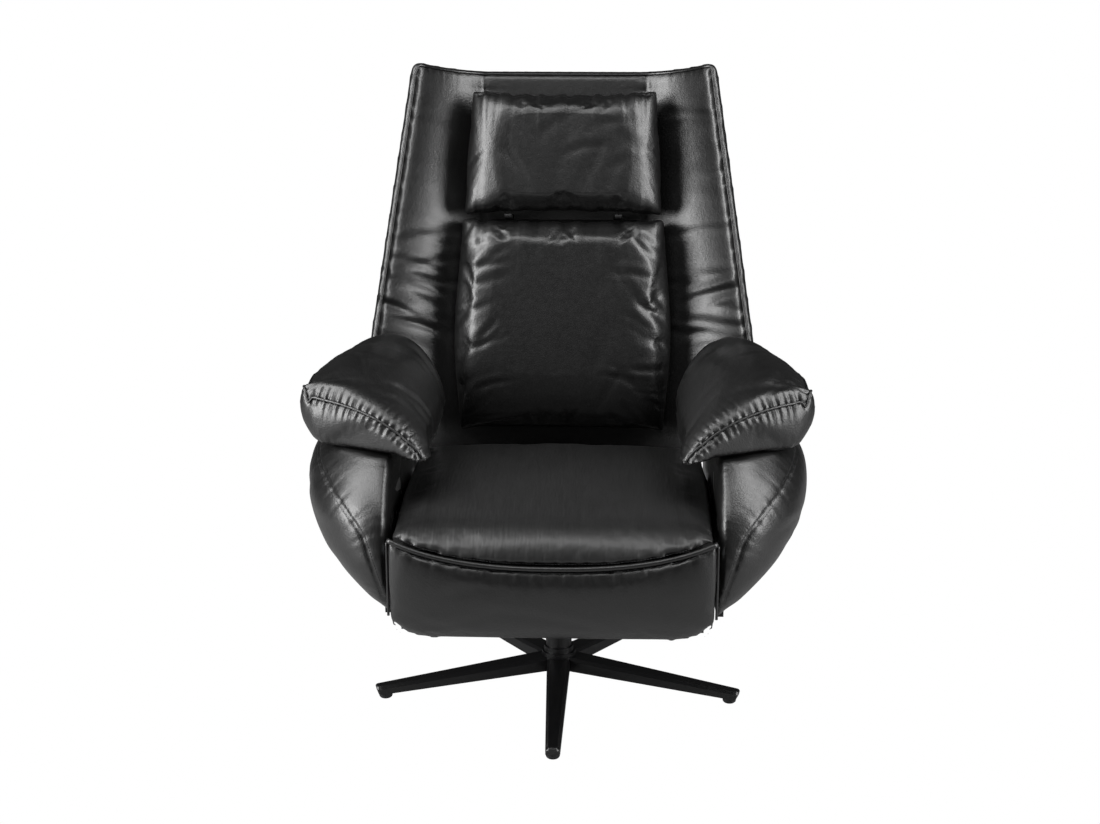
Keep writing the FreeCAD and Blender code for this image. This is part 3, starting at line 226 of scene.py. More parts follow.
def subdivide(piece):
    modifier = piece.modifiers.new("fine", "SUBSURF")
    modifier.levels = 1
    modifier.render_levels = 1
    return bake(piece)


def swell(piece, cap, pressure=4.0):
    """Blow the cover up as cloth for 20 frames, moving no point by more than the cap."""
    before = points_of(piece.data)
    cloth = piece.modifiers.new("stuffing", "CLOTH")
    cloth.settings.use_pressure = True
    cloth.settings.uniform_pressure_force = pressure
    cloth.settings.effector_weights.gravity = 0
    scene = bpy.context.scene
    for number in range(1, 21):
        scene.frame_set(number)
    bake(piece)
    scene.frame_set(1)
    moved = points_of(piece.data) - before
    size = np.linalg.norm(moved, axis=1, keepdims=True)
    set_points(piece.data, before + moved * np.minimum(1, cap / np.maximum(size, 1e-9)))
    return piece


def limit(piece, low=(None, None, None), high=(None, None, None), leaned=False):
    """Press a piece flat where it reaches past a bound, in the chair's frame or in the back's own."""
    points = points_of(piece.data)
    if leaned:
        points = unlean(points)
    for axis in range(3):
        if low[axis] is not None or high[axis] is not None:
            points[:, axis] = np.clip(points[:, axis], low[axis], high[axis])
    set_points(piece.data, lean(points) if leaned else points)
    return piece


def near_path(points, path):
    """The distance of each point to a path, and how far along the path its nearest place is."""
    starts, steps = path[:-1], np.diff(path, axis=0)
    lengths = np.linalg.norm(steps, axis=1)
    best, along = np.full(len(points), np.inf), np.zeros(len(points))
    for start, step, length, so_far in zip(starts, steps, lengths, lengths_along(path)):
        t = np.clip((points - start) @ step / length**2, 0, 1)
        gap = np.linalg.norm(points - start - t[:, None] * step, axis=1)
        closer = gap < best
        best[closer], along[closer] = gap[closer], so_far + t[closer] * length
    return best, along


def spread(path, pitch):
    """A path resampled at even steps of about the pitch, along a smooth curve through its points."""
    path = np.asarray(path, float)
    reached = lengths_along(path)
    count = max(2, int(reached[-1] / pitch) + 1)
    return through(path, reached, np.linspace(0, reached[-1], count))


def onto(piece, path, towards=None):
    """Drop a path onto a piece, along a direction if one is given, else to the nearest place."""
    tree = BVHTree.FromObject(piece, bpy.context.evaluated_depsgraph_get())
    places, normals = [], []
    for point in path:
        if towards is None:
            place, normal = tree.find_nearest(Vector(point))[:2]
        else:
            start = Vector(point) - Vector(towards) * 0.5
            place, normal = tree.ray_cast(start, Vector(towards), 1.5)[:2]
        if place is not None:
            places.append(place)
            normals.append(normal)
    return np.array(places), np.array(normals)


def seam_dent(piece, path, depth, width):
    """Draw a seam in: points sink along the normal by a bell curve of their distance to the path."""
    points, normals = points_of(piece.data), normals_of(piece.data)
    gap = near_path(points, path)[0]
    set_points(piece.data, points - normals * (depth * np.exp(-((gap / width) ** 2)))[:, None])


def gather(piece, path, depth, reach, pitch, seed):
    """Small pleats that run away from a seam and fade within reach: waves of uneven pitch."""
    points, normals = points_of(piece.data), normals_of(piece.data)
    gap, along = near_path(points, path)
    random = np.random.default_rng(seed)
    phase, wave = random.uniform(0, WAVE_TURN, 4), np.zeros(len(points))
    for k, stretch in enumerate((1.0, 1.63, 0.61, 2.37)):
        wave += np.sin(WAVE_TURN * along * stretch / pitch + phase[k]) / (1 + k)
    rise = depth * np.clip(wave, -1.4, 0.8) * np.exp(-gap / reach)
    set_points(piece.data, points + normals * rise[:, None])


def folds(piece, flat, region, count, angle, spread_by, length, width, depth, seed):
    """Soft creases: dents along short bent lines, scattered in a region of a flat view of the piece."""
    points, normals = points_of(piece.data), normals_of(piece.data)
    view = flat(points)
    random = np.random.default_rng(seed)
    total = np.zeros(len(points))
    (a0, a1), (b0, b1) = region
    for _ in range(count):
        centre = np.array([random.uniform(a0, a1), random.uniform(b0, b1)])
        turn = angle + random.uniform(-spread_by, spread_by)
        size = length * random.uniform(0.6, 1.3)
        bend = random.uniform(-0.25, 0.25)
        offset = view - centre
        cosine, sine = math.cos(turn), math.sin(turn)
        along = (offset[:, 0] * cosine + offset[:, 1] * sine) / (size / 2)
        across = -offset[:, 0] * sine + offset[:, 1] * cosine - bend * size * (along**2) / 4
        taper = np.exp(-(along**4))
        thick = width * random.uniform(0.7, 1.3)
        dent = np.exp(-((across / thick) ** 2))
        ridge = RIDGE_SHARE * np.exp(-((across / thick - RIDGE_PLACE) ** 2))
        total += random.uniform(0.5, 1.0) * taper * (dent - ridge)
    set_points(piece.data, points - normals * (depth * total)[:, None])


def circles(across, up, sides):
    """Circles of radius one, one for each pair of directions in two arrays."""
    turn = np.linspace(0, 2 * math.pi, sides, endpoint=False)
    cosine, sine = np.cos(turn)[None, :, None], np.sin(turn)[None, :, None]
    return across[:, None] * cosine + up[:, None] * sine


def tube(name, path, radius, sides=8):
    """A cord of round section along a path, its frame turned as little as possible on the way."""
    path = np.asarray(path, float)
    ahead = unit(np.gradient(path, axis=0))
    side = np.cross(ahead[0], (0.31, 0.22, 0.92))
    across = []
    for direction in ahead:
        side = side - direction * (side @ direction)
        side = side / np.linalg.norm(side)
        across.append(side)
    across = np.array(across)
    return solid(name, path[:, None] + radius * circles(across, np.cross(ahead, across), sides))


def stitches(name, path, normals, pitch=0.0052, length=0.0034, radius=0.00045, lift=0.0003):
    """A row of short threads that lie along a seam: one six-sided capsule, repeated at each pitch."""
    reached = lengths_along(path)
    where = np.arange(pitch, reached[-1] - pitch, pitch)

    def at_each(values):
        return np.stack([np.interp(where, reached, values[:, k]) for k in range(3)], axis=1)

    centre, up = at_each(path), unit(at_each(normals))
    ahead = at_each(np.gradient(path, axis=0))
    ahead = unit(ahead - up * np.sum(ahead * up, axis=1, keepdims=True))
    sides, stations = 6, ((-0.5, 0.35), (-0.36, 1.0), (0.36, 1.0), (0.5, 0.35))
    section = circles(np.cross(up, ahead), up, sides)
    rings = []
    for share, size in stations:
        middle = centre + ahead * share * length + up * lift
        rings.append(middle[:, None] + radius * size * section)
    per_thread = sides * len(stations)
    walls = np.array([face for face in tube_faces(len(stations), sides) if len(face) == 4])
    starts = np.arange(len(where)) * per_thread
    faces = (walls[None] + starts[:, None, None]).reshape(-1, 4).tolist()
    for start in starts.tolist():
        faces.append(list(range(start + sides - 1, start - 1, -1)))
        faces.append(list(range(start + per_thread - sides, start + per_thread)))
    return outward(make_object(name, np.stack(rings, axis=1), faces))


# Materials
def linear(hex_colour):
    """The linear colour of an sRGB hex value."""
    channels = [int(hex_colour[k:k + 2], 16) / 255 for k in (0, 2, 4)]
    return [c / 12.92 if c <= 0.04045 else ((c + 0.055) / 1.055) ** 2.4 for c in channels] + [1.0]


def add(material, kind, inputs=None, **settings):
    """Add one shader node: its settings, and its inputs, each a value or another node's output."""
    made = material.node_tree.nodes.new("ShaderNode" + kind)
    for key, value in settings.items():
        setattr(made, key, value)
    for key, value in (inputs or {}).items():
        if isinstance(value, bpy.types.NodeSocket):
            material.node_tree.links.new(value, made.inputs[key])
        else:
            made.inputs[key].default_value = value
    return made


def new_material(name):
    """A material with a principled shader, its object coordinates to hand."""
    made = bpy.data.materials.new(name)
    made.use_nodes = True
    shader = made.node_tree.nodes["Principled BSDF"]
    coords = add(made, "TexCoord").outputs["Object"]
    return made, shader, coords


def ramp(material, factor, dark, light, low=0.0, high=1.0):
    """A colour that runs from one hex value to another as a factor runs from low to high."""
    made = add(material, "ValToRGB", {"Fac": factor})
    first, last = made.color_ramp.elements
    first.position, last.position = low, high
    first.color, last.color = linear(dark), linear(light)
    return made.outputs["Color"]


def per_metre(millimetres):
    """Texture scale whose pattern repeats about every so many millimetres."""
    return 1000.0 / millimetres


def leather(name, grain_mm, grain_depth, stretch=(1.0, 1.0, 1.0), roughness=(0.33, 0.47)):
    """Corrected-grain cattle hide, dyed black, semi-gloss: pebbled cells and fine creases."""
    made, shader, coords = new_material(name)
    link = made.node_tree.links.new
    place = add(made, "Mapping", {"Vector": coords, "Scale": stretch}).outputs[0]
    cells = add(made, "TexVoronoi", {"Vector": place, "Scale": per_metre(grain_mm)}, feature="SMOOTH_F1")
    pattern = {"Vector": place, "Scale": per_metre(9.0), "Detail": 5.0, "Roughness": 0.62}
    creases = add(made, "TexNoise", pattern)
    mottling = add(made, "TexNoise", {"Vector": coords, "Scale": per_metre(55.0), "Detail": 3.0})
    tone = ramp(made, mottling.outputs["Fac"], "040404", "090909", 0.3, 0.72)
    link(tone, shader.inputs["Base Color"])
    gloss = {"Value": creases.outputs["Fac"], "To Min": roughness[0], "To Max": roughness[1]}
    link(add(made, "MapRange", gloss).outputs[0], shader.inputs["Roughness"])
    grain = {"Height": cells.outputs["Distance"], "Strength": grain_depth, "Distance": 0.0006}
    fine = add(made, "Bump", grain).outputs[0]
    crease = {"Height": creases.outputs["Fac"], "Strength": 0.35, "Distance": 0.0012, "Normal": fine}
    link(add(made, "Bump", crease).outputs[0], shader.inputs["Normal"])
    shader.inputs["IOR"].default_value = 1.5
    shader.inputs["Specular IOR Level"].default_value = 0.55
    shader.inputs["Coat Weight"].default_value = 0.12
    shader.inputs["Coat Roughness"].default_value = 0.22
    return made


def grained(name, dark, light, roughness, grain_mm, bump, metallic=0.0, stretch=(1.0, 1.0, 1.0)):
    """A finish with a fine irregular surface: noise moves its colour, its gloss and its height."""
    made, shader, coords = new_material(name)
    link = made.node_tree.links.new
    place = add(made, "Mapping", {"Vector": coords, "Scale": stretch}).outputs[0]
    noise = add(made, "TexNoise", {"Vector": place, "Scale": per_metre(grain_mm), "Detail": 4.0})
    height = noise.outputs["Fac"]
    link(ramp(made, height, dark, light, 0.32, 0.68), shader.inputs["Base Color"])
    gloss = {"Value": height, "To Min": roughness - 0.05, "To Max": roughness + 0.05}
    link(add(made, "MapRange", gloss).outputs[0], shader.inputs["Roughness"])
    relief = add(made, "Bump", {"Height": height, "Strength": bump, "Distance": 0.0004})
    link(relief.outputs[0], shader.inputs["Normal"])
    shader.inputs["Metallic"].default_value = metallic
    return made


pebbled_leather = leather("semi_gloss_black_leather", 2.6, 0.35)
combed_leather = leather(
    "black_leather_seat_top", 4.2, 0.9, stretch=(1.0, 0.12, 0.3), roughness=(0.42, 0.56)
)
sewing_thread = grained("bonded_polyester_thread", "101011", "1c1c1e", 0.6, 0.6, 0.5)
star_paint = grained("satin_black_powder_coat", "070708", "0c0c0d", 0.38, 1.2, 0.25)
tube_paint = grained("black_stoved_enamel", "0b0b0c", "131314", 0.45, 1.5, 0.2)
zinc_plate = grained("bright_zinc_plate", "a9adb1", "c3c7ca", 0.34, 3.0, 0.1, metallic=1.0)
nylon = grained("black_moulded_nylon", "08080a", "101013", 0.55, 0.8, 0.3)
acetal = grained("natural_acetal", "d8d5cc", "e5e2d9", 0.42, 2.0, 0.1)
birch_ply = grained("birch_plywood", "b08a5c", "d0ae80", 0.6, 4.0, 0.3, stretch=(0.12, 1.0, 1.0))
elastic_web = grained("woven_elastic_webbing", "141414", "242424", 0.85, 1.5, 0.6, stretch=(0.25, 1.0, 1.0))
dust_cloth = grained("spunbond_dust_cloth", "0b0b0b", "191919", 0.9, 1.8, 0.6)

SLOT_FINISH = {
    "base_enamel": star_paint,
    "frame_steel": tube_paint,
    "zinc_steel": zinc_plate,
    "glide_plastic": nylon,
    "bush_plastic": acetal,
    "plywood": birch_ply,
    "webbing": elastic_web,
    "cover_cloth": dust_cloth,
    "black_leather": pebbled_leather,
}
# Boards are covered with cloth, and the headrest's pins are blackened like its brackets
CLOTH_COVERED = (
    "side_panel_left", "side_panel_right", "legrest_board",
    "flap_board", "headrest_board", "seat_front_board",
)
NODE_FINISH = {node: dust_cloth for node in CLOTH_COVERED}
NODE_FINISH["headrest_pins"] = tube_paint
for row in frame["record"]["subparts"]:
    material = NODE_FINISH.get(row["node"], SLOT_FINISH[row["material_slot"]])
    for holder in frame["nodes"][row["node"]].material_slots:
        holder.material = material


def dress(piece, material):
    """Give a finished piece its material and smooth shading."""
    piece.data.materials.clear()
    piece.data.materials.append(material)
    piece.data.polygons.foreach_set("use_smooth", np.ones(len(piece.data.polygons), bool))
    piece.data.update()
    return piece


# Back shell: a flat middle and two wings that curve forward, covered in leather.
# Below the arms its half width and its wings shrink to these shares, level by level.
LOWER_LEVELS = (-0.062, -0.048, 0.0257, 0.1285, 0.257)
LOWER_HALVES = (0.5, 0.62, 0.78, 0.93, 1.0)
LOWER_WINGS = (0.3, 0.36, 0.56, 0.86, 1.0)


def shell_ring(level):
    """Plan section of the shell at one level of the back: middle, wings and rounded front edges."""
    if level > ARM_LEVEL:
        above, span = level - ARM_LEVEL, SHELL_TOP - ARM_LEVEL
        half = HALF_AT_ARMS - (HALF_AT_ARMS - HALF_AT_TOP) * above / span
        wing = WING_DEPTH * (1 - 0.045 * above / span)
    else:
        half = HALF_AT_ARMS * float(through(LOWER_HALVES, LOWER_LEVELS, [level])[0])
        wing = WING_DEPTH * float(through(LOWER_WINGS, LOWER_LEVELS, [level])[0])
    end = min(SHELL_TOP - level, level - SHELL_LOW)
    inset = SHELL_RIM - math.sqrt(max(SHELL_RIM**2 - max(SHELL_RIM - end, 0) ** 2, 0)) + 0.001
    flat = min(0.156, half * 0.62)
    front, rear, edge = SHELL_FACE + inset, SHELL_REAR - inset, -wing + inset
    outer = (half - inset, edge + WING_THICKNESS * 0.5)
    tip = (half - WING_THICKNESS * 0.38, edge)
    inner = (half - WING_THICKNESS * 0.9, edge + WING_THICKNESS * 0.36)
    outer_mid = (flat + (outer[0] - flat) * 0.64, rear + (outer[1] - rear) * 0.36)
    inner_mid = (flat + (inner[0] - flat) * 0.56, front + (inner[1] - front) * 0.4)
    right = np.concatenate([
        bow((0, rear), (flat / 2, rear - 0.0008), (flat, rear - 0.003), 14),
        bow((flat, rear - 0.003), outer_mid, outer, 30),
        bow(outer, tip, inner, 12),
        bow(inner, inner_mid, (flat - 0.004, front), 28),
        bow((flat - 0.004, front), (flat / 2, front), (0, front), 14),
        [(0, front)],
    ])
    left = right[-2:0:-1] * (-1, 1)
    ring = np.concatenate([right, left])
    return np.column_stack([ring, np.full(len(ring), level)])


def prism(name, outline, near, far):
    """A closed solid: an outline in the back's side view, carried across from near to far."""
    outline = np.asarray(outline, float)
    rings = np.stack([np.column_stack([np.full(len(outline), x), outline]) for x in (near, far)])
    return solid(name, lean(rings))


shell_levels = np.concatenate([
    SHELL_LOW + np.array([0, 0.0015, 0.004, 0.008, 0.013]),
    np.linspace(-0.04, 0.755, 90),
    SHELL_TOP - np.array([0.013, 0.008, 0.004, 0.0015, 0]),
])
shell = solid("shell_cover", lean(np.stack([shell_ring(level) for level in shell_levels])))
circle = np.linspace(0, 2 * math.pi, 96, endpoint=False)
clear = SHOULDER_RADIUS + WING_GAP + 0.001
round_cut = clear * np.column_stack([np.cos(circle), np.sin(circle)])
corner_cut = [(-0.2, -0.376), (0.2, -0.376), (0.2, 0.0245), (-0.2, 0.0245)]
for label, sign in SIDES:
    carve(shell, prism("round_" + label, round_cut, *on_side(sign, 0.2605, 0.42)))
    carve(shell, prism("corner_" + label, corner_cut, *on_side(sign, 0.193, 0.42)))
remesh(shell, 0.0072)
smooth(shell, 3)
subdivide(shell)


# Cushions of the back
def cushion(name, low, high, half_low, half_middle, half_high, rear, face, edge):
    """A stuffed cushion: front and rear bulge between outlines, thick where the edge powers say."""
    places = np.sin(np.linspace(-1, 1, 61) * math.pi / 2)
    across, up = np.meshgrid(places, places, indexing="ij")
    share = (up + 1) / 2
    half = through([half_low, half_middle, half_high], [0, 0.4, 1], share.ravel()).reshape(share.shape)
    x = across * half
    v = (low + high) / 2 + up * (high - low) / 2
    ends = np.where(up > 0, np.abs(up) ** edge[1], np.abs(up) ** edge[2])
    body = np.sqrt(np.clip((1 - np.abs(across) ** edge[0]) * (1 - ends), 0, 1))
    seam = rear + (face - rear) * 0.42
    crown = 1 + 0.07 * (1 - across**2) * (1 - up**2)
    front = seam + (face / 1.035 - seam) * body * crown
    behind = seam + (rear - seam) * body
    sheets = [np.stack([x, depth, v], axis=-1).reshape(-1, 3) for depth in (front, behind)]
    n = places.size
    i, j = np.meshgrid(np.arange(n - 1), np.arange(n - 1), indexing="ij")
    k = (i * n + j).ravel()
    quads = np.stack([k, k + 1, k + n + 1, k + n], axis=-1)
    other = quads[:, ::-1] + n * n
    faces = np.concatenate([quads, other]).tolist()
    return outward(weld(make_object(name, lean(np.concatenate(sheets)), faces)))


def weld(piece):
    """Join points that lie on each other, so that the seam of two sheets closes."""
    modifier = piece.modifiers.new("weld", "WELD")
    modifier.merge_threshold = 0.0002
    return bake(piece)


lumbar = cushion(
    "lumbar_cushion_cover", low=0.099, high=0.4955, half_low=0.196, half_middle=0.209,
    half_high=0.193, rear=-0.0405, face=-0.127, edge=(6, 12, 3.2),
)
head = cushion(
    "head_cushion_cover", low=0.4990, high=0.729, half_low=0.187, half_middle=0.184,
    half_high=0.177, rear=-0.0500, face=-0.127, edge=(6, 5, 10),
)
for piece in (lumbar, head):
    remesh(piece, 0.0050)
    swell(piece, 0.009)
    subdivide(piece)
limit(lumbar, low=(None, -0.132, 0.096), high=(None, -0.0402, 0.4965), leaned=True)
limit(head, low=(None, -0.132, 0.4980), high=(None, -0.0497, 0.735), leaned=True)


# Seat: one crowned cover that runs over the knee and ends at the smile-shaped seam
def smile(side):
    """Height of the seam under the knee at a share of the half width: highest at the corners."""
    return 0.361 + 0.041 * abs(side) ** 2.4


def seat_loop(side):
    """Side-view loop of the seat at a share of its half width: top, knee and underside."""
    top = np.array([
        (0.116, 0.414), (0.03, 0.428), (-0.08, 0.436), (-0.18, 0.434), (-0.26, 0.426), (-0.318, 0.413),
    ])
    fall = 0.013 * side**2 + 0.004 * side**6
    top[:, 1] -= fall * np.array([1, 1, 1, 0.8, 0.5, 0.3])
    upper = through(top, -top[:, 0], -np.linspace(0.116, -0.318, 60))
    front = -0.392 + 0.019 * abs(side) ** 7
    turn = np.linspace(0, math.pi / 2, 26)[1:]
    knee = np.column_stack([
        upper[-1, 0] + (front - upper[-1, 0]) * np.sin(turn),
        smile(side) + (upper[-1, 1] - smile(side)) * np.cos(turn),
    ])
    under = [
        (front + 0.012, smile(side) - 0.001), (-0.350, 0.378), (-0.335, 0.381), (-0.262, 0.381),
        (-0.2545, 0.372), (-0.2545, SEAT_BASE + 0.002), (-0.25, SEAT_BASE), (0.11, SEAT_BASE),
        (0.1145, SEAT_BASE + 0.005), (0.1155, 0.34),
    ]
    return np.concatenate([upper, knee[:-1], legs([knee[-1], *under, upper[0]])])


def bar(name, loop_at, half, count):
    """A closed solid: side-view loops that change with their share of the half width."""
    rings = []
    for place in np.linspace(-half, half, count):
        loop = loop_at(place / half)
        rings.append(np.column_stack([np.full(len(loop), place), loop]))
    return solid(name, np.stack(rings))


seat = bar("seat_cover", seat_loop, SEAT_HALF - 0.001, 61)
remesh(seat, 0.0060)
smooth(seat, 5)
swell(seat, 0.006)
subdivide(seat)
limit(seat, low=(-SEAT_HALF - 0.004, None, 0.2662), high=(SEAT_HALF + 0.004, 0.1162, None))


# Leg rest: the padded front panel, its top edge against the smile-shaped seam
def panel_low(side):
    """Height of the panel's lower edge at a share of its half width: rounded up at the corners."""
    return PANEL_LOW + 0.0008 + 0.022 * np.abs(side) ** 16


def panel_front(side):
    """Depth of the panel's face at a share of its half width: rounded back at the sides."""
    return -0.3945 + 0.017 * np.abs(side) ** 7


def panel_loop(side):
    """Side-view loop of the front panel: bulged face, tucked lower edge, flat back on its board."""
    low, front = panel_low(side), panel_front(side)
    back = -PANEL_FACE + PANEL_DEPTH - 0.0006
    edge = smile(side)
    face = np.array([
        (front + 0.0028, edge + 0.0006), (front, edge - 0.02), (front - 0.0002, 0.300),
        (front + 0.006, 0.262), (front + 0.016, low + 0.008), (front + 0.0235, low),
        ((front + back) / 2 + 0.009, low + 0.002), (back, low + 0.009),
    ])
    reached = lengths_along(face)
    face = through(face, reached, np.linspace(0, reached[-1], 70))
    rest = [(back, 0.355), (back + 0.004, min(edge - 0.003, 0.372)), (front + 0.014, edge - 0.0035)]
    return np.concatenate([face[:-1], legs([face[-1], *rest, face[0]])])


panel = bar("front_panel_cover", panel_loop, PANEL_HALF - 0.001, 61)
remesh(panel, 0.0050)
smooth(panel, 4)
swell(panel, 0.004)
subdivide(panel)
limit(panel, low=(-PANEL_HALF - 0.001, -0.4, 0.2275), high=(PANEL_HALF + 0.001, None, None))


# Flap folded behind the front panel: a thin pad on its board
def flap_loop(side):
    """Side-view loop of the flap's pad: a rounded slab, thinner towards its ends."""
    turn = np.linspace(0, 2 * math.pi, 80, endpoint=False)
    front, low, high = -0.3365, 0.2465, 0.3535
    rear = -0.3190 - 0.006 * abs(side) ** 8
    cosine, sine = np.cos(turn), np.sin(turn)
    depth = (front + rear) / 2 + (rear - front) / 2 * np.sign(cosine) * np.abs(cosine) ** 0.5
    rise = (low + high) / 2 + (high - low) / 2 * np.sign(sine) * np.abs(sine) ** 0.35
    return np.column_stack([depth, rise])


flap = bar("flap_cover", flap_loop, 0.187, 41)
remesh(flap, 0.0045)
swell(flap, 0.003)
subdivide(flap)
limit(flap, low=(None, -0.3365, 0.2455), high=(None, None, 0.3545))


# Sides: hull-shaped padded bodies with a round shoulder about the back's hinge
FRONT_POWER = 2.2


def side_ring(sign, z, share, front, rear):
    """Plan section of a side: straight inner face, rounded front and outside, blunt rear."""
    reach = (SIDE_OUTER - SIDE_INNER) * share
    deep, tail = SIDE_INNER + reach, SIDE_INNER + reach * 0.3 + 0.004
    crest = front + (rear - front) * 0.46
    round_turn = np.linspace(0.04, math.pi / 2, 45, endpoint=False)
    front_round = np.column_stack([
        SIDE_INNER + reach * np.sin(round_turn) ** (2 / FRONT_POWER),
        crest - (crest - front) * np.cos(round_turn) ** (2 / FRONT_POWER),
    ])
    ring = np.concatenate([
        np.linspace((SIDE_INNER, rear), (SIDE_INNER, front + 0.010), 30, endpoint=False),
        np.linspace((SIDE_INNER, front + 0.010), front_round[0], 3, endpoint=False),
        front_round,
        bow((deep, crest), (tail + (deep - tail) * 0.74, front + (rear - front) * 0.8), (tail, rear), 30),
        np.linspace((tail, rear), (SIDE_INNER, rear), 8, endpoint=False),
    ])
    return np.column_stack([ring[:, 0] * sign, ring[:, 1], np.full(len(ring), z)])


side_front, side_rear = -0.352, 0.235
below, above = SIDE_WIDEST - SIDE_LOW, SIDE_TOP - SIDE_WIDEST
side_levels = [0.0, 0.2 * below, 0.46 * below, 0.74 * below, below, below + 0.5 * above, below + above]
# Shares of the full width, of the front's reach and of the rear's reach at those levels
side_table = np.array([
    [0.05, 0.84, 0.90],
    [0.39, 0.95, 0.96],
    [0.74, 1.0, 1.0],
    [0.94, 0.985, 1.0],
    [1.0, 0.93, 1.0],
    [0.97, 0.84, 1.0],
    [0.84, 0.72, 1.0],
])
rises = np.linspace(0, SIDE_TOP - SIDE_LOW, 60)
shares = through(side_table, side_levels, rises)
sides = {}
past_wing, far_off = WING_DEPTH + WING_GAP, 0.6
opening = math.acos(-past_wing / SHOULDER_RADIUS)
turn = np.linspace(-opening, opening, 90)
shoulder = SHOULDER_RADIUS * np.column_stack([np.cos(turn), np.sin(turn)])
ends = [(-past_wing, far_off), (far_off, far_off), (far_off, -far_off)]
behind = np.concatenate([[(-past_wing, -far_off)], shoulder, ends])
for label, sign in SIDES:
    rings = np.stack([
        side_ring(sign, SIDE_LOW + rise, share, side_front * ahead, side_rear * back)
        for rise, (share, ahead, back) in zip(rises, shares)
    ])
    side = solid("side_cover_" + label, rings)
    carve(side, prism("behind_" + label, behind, *on_side(sign, 0.262, 0.45)))
    remesh(side, 0.0060)
    smooth(side, 2)
    swell(side, 0.004)
    subdivide(side)
    low = (SIDE_INNER - 0.0005, None, SIDE_LOW - 0.004) if sign > 0 else (None, None, SIDE_LOW - 0.004)
    high = (None, None, SIDE_TOP) if sign > 0 else (-SIDE_INNER + 0.0005, None, SIDE_TOP)
    limit(side, low, high)
    sides[label] = side


# Arm pads: thick pillows that slope down towards the seat, with a boxed outer band
def arm_ring(sign, inner, outer, edge_top, crown, low):
    """Slanted section of an arm pad: underside that droops inside, bulged outer band, crowned top."""
    inner, outer = np.asarray(inner), np.asarray(outer)
    past_side = (SIDE_INNER - WING_GAP - inner[0]) / (outer[0] - inner[0])

    def at(share, z):
        plan = inner + (outer - inner) * share
        return (plan[0] * sign, plan[1], z)

    start, kink, end, edge = at(0.03, low - 0.015), at(past_side, low), at(0.93, low), at(1.0, edge_top)
    return np.concatenate([
        np.linspace(start, kink, 10, endpoint=False),
        np.linspace(kink, end, 20, endpoint=False),
        bow(end, at(1.012, low + (edge_top - low) * 0.5), edge, 14),
        bow(edge, at(0.42, edge_top + crown), start, 40),
    ])


arm_low, arm_top = 0.5010, 0.5885
# From the rear to the front: inner edge, outer edge, lift of the outer edge, crown of the top
arm_table = np.array([
    [0.216, 0.139, 0.348, 0.087, -0.034, 0.0],
    [0.205, 0.118, 0.362, 0.070, -0.006, 0.0105],
    [0.193, 0.035, 0.394, 0.014, 0.006, 0.0156],
    [0.190, -0.077, 0.418, -0.070, 0.008, 0.013],
    [0.192, -0.191, 0.424, -0.143, 0.002, -0.005],
    [0.193, -0.268, 0.419, -0.1775, -0.004, -0.026],
    [0.206, -0.287, 0.404, -0.193, -0.036, -0.018],
])
arm_rows = through(arm_table, [0, 0.06, 0.3, 0.55, 0.8, 0.95, 1.0], np.linspace(0, 1, 70))
arms = {}
for label, sign in SIDES:
    rings = np.stack([
        arm_ring(sign, row[:2], row[2:4], arm_top + row[4], row[5], arm_low) for row in arm_rows
    ])
    arm = solid("arm_pad_cover_" + label, rings)
    remesh(arm, 0.0050)
    smooth(arm, 2)
    swell(arm, 0.008)
    subdivide(arm)
    limit(arm, low=(None, None, 0.5005))
    arms[label] = arm


# Creases and seams of each cover
def front_view(points):
    """Flat view from the front: across and up."""
    return points[:, [0, 2]]


def facing(piece, direction, change, *arguments, **sizes):
    """Make a change to a piece only where it faces a direction."""
    before = points_of(piece.data)
    turned = np.clip(normals_of(piece.data) @ np.array(direction) * 3, 0, 1)
    change(piece, *arguments, **sizes)
    after = points_of(piece.data)
    set_points(piece.data, before + (after - before) * turned[:, None])


def side_view(points):
    """Flat view from the side: depth and up."""
    return points[:, [1, 2]]


def top_view(points):
    """Flat view from above: across and depth."""
    return points[:, :2]


def row_of(count, half, depth, level):
    """A level line of points across the back, in its own frame, leant with it."""
    return lean([(x, depth, level) for x in np.linspace(-half, half, count)])


wing_levels = np.linspace(0.205, SHELL_TOP - 0.009, 60)
wing_edge = np.array([shell_ring(level)[50] for level in wing_levels])
top_edge = shell_ring(SHELL_TOP - 0.006)[51:99]
one_side = np.concatenate([wing_edge, top_edge])
rim_path = lean(np.concatenate([one_side, (one_side[:-1] * (-1, 1, 1))[::-1]]))
rim_path = spread(rim_path[::3], 0.006)
rim_path, rim_normals = onto(shell, rim_path)
for sign in (-1, 1):
    wing = (on_side(sign, 0.20, 0.33), (0.60, 1.02))
    facing(
        shell, FRONTWARD, folds, front_view, wing, count=16, angle=sign * 0.30,
        spread_by=0.35, length=0.15, width=0.0095, depth=0.0014, seed=11 + sign,
    )
    arm_end = (on_side(sign, 0.24, 0.345), (0.60, 0.74))
    facing(
        shell, FRONTWARD, folds, front_view, arm_end, count=10, angle=sign * 0.35,
        spread_by=0.3, length=0.10, width=0.0070, depth=0.0020, seed=21 + sign,
    )
    upright = [(sign * 0.15, SHELL_FACE, level) for level in np.linspace(0.60, SHELL_TOP - 0.002, 30)]
    seam_path = onto(shell, lean(upright))[0]
    seam_dent(shell, seam_path, depth=0.0022, width=0.0035)
    gather(shell, seam_path, depth=0.0006, reach=0.014, pitch=0.018, seed=31 + sign)
    behind_seam = [(sign * 0.15, SHELL_REAR, level) for level in np.linspace(0.0, SHELL_TOP - 0.002, 60)]
    seam_dent(shell, onto(shell, lean(behind_seam))[0], depth=0.0022, width=0.0035)
seam_dent(shell, rim_path, depth=0.0016, width=0.006)
gather(shell, rim_path, depth=0.0003, reach=0.012, pitch=0.020, seed=41)

